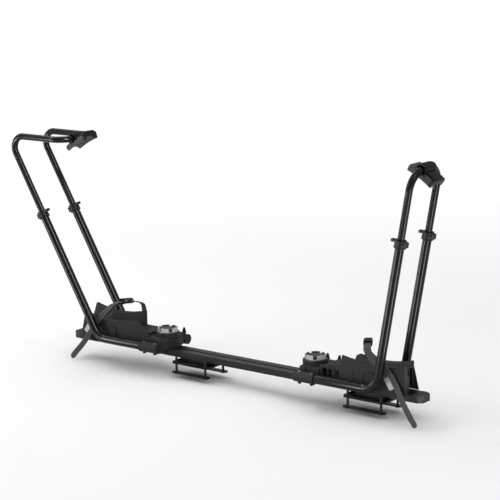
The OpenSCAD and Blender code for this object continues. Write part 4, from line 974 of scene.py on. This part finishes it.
@dataclass
class WheelStrap:
    """A wheel strap with its buckle. Lengths are metres, in a frame where +X points outwards."""

    end: End
    buckle: Vector
    far_x: float
    tail: Sequence[tuple[float, float, float]]
    buckle_turn: float = 30.0
    buckle_length: float = 0.054
    width: float = 0.020
    thick: float = 0.0024
    y_in: float = 0.0548
    y_out: float = 0.0591
    over: float = 0.0032
    under: float = -0.0016
    sag: float = 0.0015
    patch_x: float = 0.614
    low_z: float = 0.044
    step: float = 0.003
    tip_step: float = 0.0012
    tip_share: float = 0.12
    selvedge: float = 0.0007
    patch_size: tuple[float, float] = (0.041, 0.019)
    patch_corner: float = 0.003
    patch_hem: tuple[float, float, float] = (0.0016, 0.0004, 0.00025)
    patch_thick: float = 0.0006
    patch_lift: float = 0.0021
    patch_lean: float = 55.0
    patch_step: tuple[float, float] = (-0.007, 0.010)
    grip_count: int = 5
    grip_pitch: float = 0.0031
    grip_place: tuple[float, float] = (0.0115, 0.0131)
    grip_size: tuple[float, float, float] = (0.0015, 0.0170, 0.0012)
    grip_edge: float = 0.0004

    @property
    def body(self) -> str:
        """CAD body that carries the strap."""
        return f"{self.end.value}_cradle"

    def on_buckle(self, halves: float, z: float) -> Vector:
        """A point on the buckle's middle line.

        Args:
            halves: Half lengths from the buckle's middle, towards the far side.
            z: Height above the buckle's base.

        Returns:
            The point.
        """
        turn = radians(self.buckle_turn)
        reach = halves * self.buckle_length / 2
        return self.buckle + Vector((-sin(turn) * reach, cos(turn) * reach, z))

    def build(self) -> None:
        """Dresses the buckle and adds the straps, the patch and the lever's grip."""
        name = self.end.value
        dress_node(f"{name}_buckle_frame", BLACK_PLASTIC)
        dress_node(f"{name}_buckle_lever", BLACK_PLASTIC)
        dress_node(f"{name}_buckle_pin", ZINC_STEEL)
        self.long_strap()
        self.buckle_strap()
        self.patch()
        self.lever_grip()

    def long_strap(self) -> None:
        """Makes the strap from the far wall through the buckle to its hanging tail."""
        near, far = self.on_buckle(-1, self.over), self.on_buckle(1, self.over)
        top = Vector((near.x + 0.016, -self.y_out, near.z - 0.014))
        route = [Vector((self.far_x, self.y_in, self.low_z)), Vector((self.far_x, self.y_in, 0.084)),
                 Vector((self.far_x + 0.002, self.y_in - 0.004, 0.132)),
                 far + Vector((-0.008, 0.012, -0.003)), far,
                 self.on_buckle(0.4, self.over), self.on_buckle(-0.4, self.over), near]
        route += [top + Vector(d) for d in self.tail]
        up, out, back = Vector((0, 0, 1)), Vector((0, -1, 0)), Vector((0, 1, 0))
        looks = [back, back, Vector((0, 0.9, 0.4)), Vector((0, 0.5, 0.9)), up, up, up, up,
                 Vector((0.3, -0.9, 0.4)), out, out, out, out, out]
        self.ribbon(f"{self.end.value}_wheel_webbing", route, looks, f"{self.end.value}_strap")

    def buckle_strap(self) -> None:
        """Makes the short strap that holds the buckle down to the near wall."""
        near = self.on_buckle(-1, self.under - self.sag)
        route = [self.on_buckle(-0.2, self.under), self.on_buckle(-0.7, self.under), near,
                 near + Vector((0.008, -0.009, -0.008)),
                 Vector((near.x + 0.026, -self.y_in, near.z - 0.031)), Vector((0.586, -self.y_in, 0.090)),
                 Vector((self.patch_x - 0.014, -self.y_in, self.low_z + 0.020)),
                 Vector((self.patch_x, -self.y_in, self.low_z))]
        up, out = Vector((0, 0, 1)), Vector((0, -1, 0))
        looks = [up, up, up, Vector((0.3, -0.8, 0.6)), out, out, out, out]
        self.ribbon(f"{self.end.value}_buckle_webbing", route, looks, f"{self.end.value}_buckle_strap")

    @staticmethod
    def curve(points: Sequence[Vector], i: int, t: float) -> Vector:
        """A point on a smooth curve through points.

        Args:
            points: Points of the curve.
            i: Number of the span.
            t: Share of the span.

        Returns:
            The point.
        """
        last = len(points) - 1
        a, b, c, d = (points[min(max(k, 0), last)] for k in (i - 1, i, i + 1, i + 2))
        return b + 0.5 * t * (c - a + t * (2 * a - 5 * b + 4 * c - d + t * (3 * (b - c) + d - a)))

    def ribbon(self, name: str, route: Sequence[Vector], looks: Sequence[Vector], node: str) -> None:
        """Lays a woven ribbon along a route, with a rounded end.

        Args:
            name: Name of the piece.
            route: Points of its middle line.
            looks: The way its face looks at each point.
            node: CAD node that it stands for.
        """
        fine = 40
        spots = [(i, k / fine) for i in range(len(route) - 1) for k in range(fine)]
        spots.append((len(route) - 2, 1.0))
        points = [self.curve(route, i, t) for i, t in spots]
        faces = [self.curve(looks, i, t) for i, t in spots]
        runs = [0.0]
        for before, after in zip(points, points[1:]):
            runs.append(runs[-1] + (after - before).length)
        total = runs[-1]
        rows = round(total / self.step)
        stops = [total * k / rows for k in range(rows)] + [total - self.tip_step, total]
        bm = bmesh.new()
        bmesh.ops.create_grid(bm, x_segments=4, y_segments=len(stops) - 1, size=0.5)
        weave = bm.loops.layers.uv.new("weave")
        flat: dict[bmesh.types.BMVert, tuple[float, float]] = {}
        for vert in bm.verts:
            across, row = vert.co.x, round((vert.co.y + 0.5) * (len(stops) - 1))
            run = stops[row]
            k = min(max(next(j for j, r in enumerate(runs) if r >= run - 1e-9), 1), len(points) - 2)
            way = (points[k + 1] - points[k - 1]).normalized()
            side = way.cross(faces[k]).normalized()
            share = 0.0 if runs[k] == runs[k - 1] else (run - runs[k - 1]) / (runs[k] - runs[k - 1])
            middle = points[k - 1].lerp(points[k], share)
            tip = max(0.0, run - (total - self.width / 2))
            half = max(sqrt(max(self.width ** 2 / 4 - tip ** 2, 0.0)), self.width * self.tip_share)
            vert.co = middle + side * across * 2 * half
            flat[vert] = (self.width / 2 + across * 2 * half, run)
        for face in bm.faces:
            for loop in face.loops:
                loop[weave].uv = flat[loop.vert]
        bm.transform(self.end.flip())
        tidy(bm)
        piece = publish(name, bm, WEBBING, self.body, (node,))
        body = piece.modifiers.new("thickness", "SOLIDIFY")
        body.thickness = self.thick
        body.offset = 0.0
        edge = piece.modifiers.new("selvedge", "BEVEL")
        edge.width = self.selvedge
        edge.segments = 2

    def patch(self) -> None:
        """Makes the grey patch on the end of the buckle strap, with rounded corners and a raised middle."""
        bm = bmesh.new()
        bmesh.ops.create_grid(bm, x_segments=1, y_segments=1, size=0.5,
                              matrix=Matrix.Diagonal((*self.patch_size, 1, 1)))
        bmesh.ops.bevel(bm, geom=list(bm.verts), offset=self.patch_corner, segments=5, profile=0.5,
                        affect="VERTICES", material=-1)
        faces = list(bm.faces)
        hem, slope, rise = self.patch_hem
        bmesh.ops.inset_region(bm, faces=faces, thickness=hem, depth=0.0)
        bmesh.ops.inset_region(bm, faces=faces, thickness=slope, depth=rise)
        bmesh.ops.solidify(bm, geom=list(bm.faces), thickness=self.patch_thick)
        tidy(bm, smooth=False)
        y = -self.y_in - self.patch_lift
        place = Matrix.Translation((self.patch_x + self.patch_step[0], y, self.low_z + self.patch_step[1]))
        turn = Matrix.Rotation(pi / 2, 4, "X") @ Matrix.Rotation(radians(-self.patch_lean), 4, "Z")
        bm.transform(place @ turn)
        bm.transform(self.end.flip())
        bmesh.ops.recalc_face_normals(bm, faces=bm.faces)
        publish(f"{self.end.value}_reflective_patch", bm, PATCH_TAPE, self.body,
                (f"{self.end.value}_patch",))

    def lever_grip(self) -> None:
        """Adds the grip ridges on top of the buckle's lever."""
        bm = bmesh.new()
        place = Matrix.Translation(self.buckle) @ Matrix.Rotation(radians(90 + self.buckle_turn), 4, "Z")
        along, height = self.grip_place
        for i in range(self.grip_count):
            spot = Matrix.Translation((along + i * self.grip_pitch, 0, height))
            bevelled_bar(bm, Vector(self.grip_size), place @ spot, self.grip_edge)
        bm.transform(self.end.flip())
        tidy(bm)
        name = self.end.value
        publish(f"{name}_lever_grip", bm, BLACK_PLASTIC, f"{name}_lever")


# Studio


@dataclass
class Studio:
    """Camera, lamps and floor. The camera stands at the photograph's viewing angle and distance."""

    eye: Vector = field(default_factory=lambda: Vector((3.186893, -4.113843, 1.468392)))
    azimuth: float = 37.33
    elevation: float = 11.787
    roll: float = -0.8685
    focal_px: float = 1666.04
    image_px: float = 500.0
    sensor: float = 36.0
    floor_size: float = 90.0
    sky_z: tuple[float, float] = (-0.05, 0.75)
    sky_light: tuple[float, float] = (0.35, 0.8)

    def build(self, floor_z: float) -> None:
        """Sets up the studio.

        Args:
            floor_z: Height of the floor.
        """
        self.camera()
        self.floor(floor_z)
        self.world()
        middle = Vector((0.0, 0.0, 0.35))
        upright = Vector((0.0, 0.0, 1.0))
        self.lamp("left_softbox", Vector((-3.0, -3.0, 2.0)), middle, upright, (0.4, 2.4), 37.0)
        self.lamp("right_softbox", Vector((3.6, -1.2, 3.4)), middle, upright, (0.4, 2.8), 35.0)
        self.lamp("top_softbox", Vector((-2.6, 0.4, 3.4)), middle, upright, (2.4, 0.6), 45.0)
        front_leg, front_lean = Vector((0.636, -0.077, 0.36)), Vector((0.1805, 0.0, 0.9836))
        rear_leg, rear_lean = Vector((-0.735, -0.077, 0.36)), Vector((-0.5075, 0.0, 0.8616))
        for name, offset, leg, lean, width, power in (
                ("front_left_strip", Vector((-0.476, -0.706, -0.181)), front_leg, front_lean, 0.16, 8.5),
                ("front_right_strip", Vector((0.419, -0.134, -0.239)), front_leg, front_lean, 0.12, 5.4),
                ("rear_left_strip", Vector((-0.495, -0.734, -0.162)), rear_leg, rear_lean, 0.16, 8.5),
                ("rear_right_strip", Vector((0.924, -0.295, 0.706)), rear_leg, rear_lean, 0.22, 12.0)):
            self.lamp(name, leg + offset, leg, lean, (width, 0.86), power, mirrored_only=True)
        bpy.context.scene.view_settings.view_transform = "Standard"

    def camera(self) -> None:
        """Places the camera at the photograph's viewing angle."""
        az, el, roll = radians(self.azimuth), radians(self.elevation), radians(self.roll)
        ahead = Vector((-sin(az) * cos(el), cos(az) * cos(el), -sin(el)))
        right = Vector((cos(az), sin(az), 0))
        up = right.cross(ahead)
        across = right * cos(roll) + up * sin(roll)
        rise = up * cos(roll) - right * sin(roll)
        data = bpy.data.cameras.new("photo_camera")
        data.sensor_width = self.sensor
        data.lens = self.focal_px / self.image_px * self.sensor
        data.clip_end = 200.0
        camera = bpy.data.objects.new("photo_camera", data)
        turn = Matrix((across, rise, -ahead)).transposed().to_4x4()
        camera.matrix_world = Matrix.Translation(self.eye) @ turn
        bpy.context.scene.collection.objects.link(camera)
        bpy.context.scene.camera = camera

    def lamp(self, name: str, place: Vector, aim: Vector, up: Vector, size: tuple[float, float],
             power: float, mirrored_only: bool = False) -> None:
        """Adds a softbox.

        Args:
            name: Name of the lamp.
            place: Where it stands.
            aim: Point that it faces.
            up: Way that its height runs.
            size: Its width and height.
            power: Its power in watts.
            mirrored_only: Whether it shows in glossy surfaces alone.
        """
        data = bpy.data.lights.new(name, "AREA")
        data.shape = "RECTANGLE"
        data.size, data.size_y = size
        data.energy = power
        lamp = bpy.data.objects.new(name, data)
        back = (place - aim).normalized()
        across = up.cross(back).normalized()
        turn = Matrix((across, back.cross(across), back)).transposed().to_4x4()
        lamp.matrix_world = Matrix.Translation(place) @ turn
        if mirrored_only:
            lamp.visible_camera = lamp.visible_diffuse = False
        bpy.context.scene.collection.objects.link(lamp)

    def floor(self, z: float) -> None:
        """Adds the pale floor.

        Args:
            z: Its height.
        """
        bm = bmesh.new()
        bmesh.ops.create_grid(bm, x_segments=1, y_segments=1, size=self.floor_size / 2,
                              matrix=Matrix.Translation((0, 0, z)))
        mesh = bpy.data.meshes.new("studio_floor")
        bm.to_mesh(mesh)
        bm.free()
        mesh.materials.append(FLOOR_PAINT.material())
        floor = bpy.data.objects.new("studio_floor", mesh)
        bpy.context.scene.collection.objects.link(floor)
        floor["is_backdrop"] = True

    def world(self) -> None:
        """Lights the scene from all round, more from above than from the sides."""
        world = bpy.data.worlds.new("studio")
        bpy.context.scene.world = world
        world.use_nodes = True
        tree = world.node_tree
        way = add(tree, "ShaderNodeTexCoord").outputs["Generated"]
        height = add(tree, "ShaderNodeSeparateXYZ", None, {0: way})
        rise = add(tree, "ShaderNodeMapRange", {"interpolation_type": "SMOOTHSTEP"},
                   {"Value": height.outputs["Z"], "From Min": self.sky_z[0], "From Max": self.sky_z[1],
                    "To Min": self.sky_light[0], "To Max": self.sky_light[1]})
        feed(tree, tree.nodes["Background"], {"Strength": rise.outputs[0], "Color": linear("#ffffff")})


def main() -> None:
    """Builds the carrier's sub-assemblies and the studio in order."""
    logging.basicConfig(level=logging.INFO, format="%(message)s")
    cad_box = [list(corner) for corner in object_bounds()]
    RailAssembly().build()
    RoofClamp(End.FRONT, x=0.513).build()
    RoofClamp(End.REAR, x=-0.166).build()
    for end in End:
        Cradle(end).build()
        KnobDrive(end).build()
        Saddle(end).build()
    TelescopicHoop(End.FRONT, corner_x=0.574, lean=10.4).build()
    TelescopicHoop(End.REAR, corner_x=0.542, lean=30.5).build()
    WheelStrap(End.FRONT, buckle=Vector((0.505, -0.014, 0.152)), far_x=0.458, tail=(
                (0, 0, 0), (0.067, 0, -0.048), (0.095, 0, -0.084), (0.125, -0.008, -0.130),
                (0.155, -0.016, -0.168), (0.181, -0.020, -0.199))).build()
    WheelStrap(End.REAR, buckle=Vector((0.474, -0.014, 0.149)), far_x=0.448, tail=(
                (0, 0, 0), (0.058, 0, -0.055), (0.088, 0, -0.093), (0.116, -0.008, -0.135),
                (0.142, -0.016, -0.167), (0.166, -0.020, -0.195))).build()
    Studio().build(cad_box[0][2] - MM)


if __name__ == "__main__":
    main()
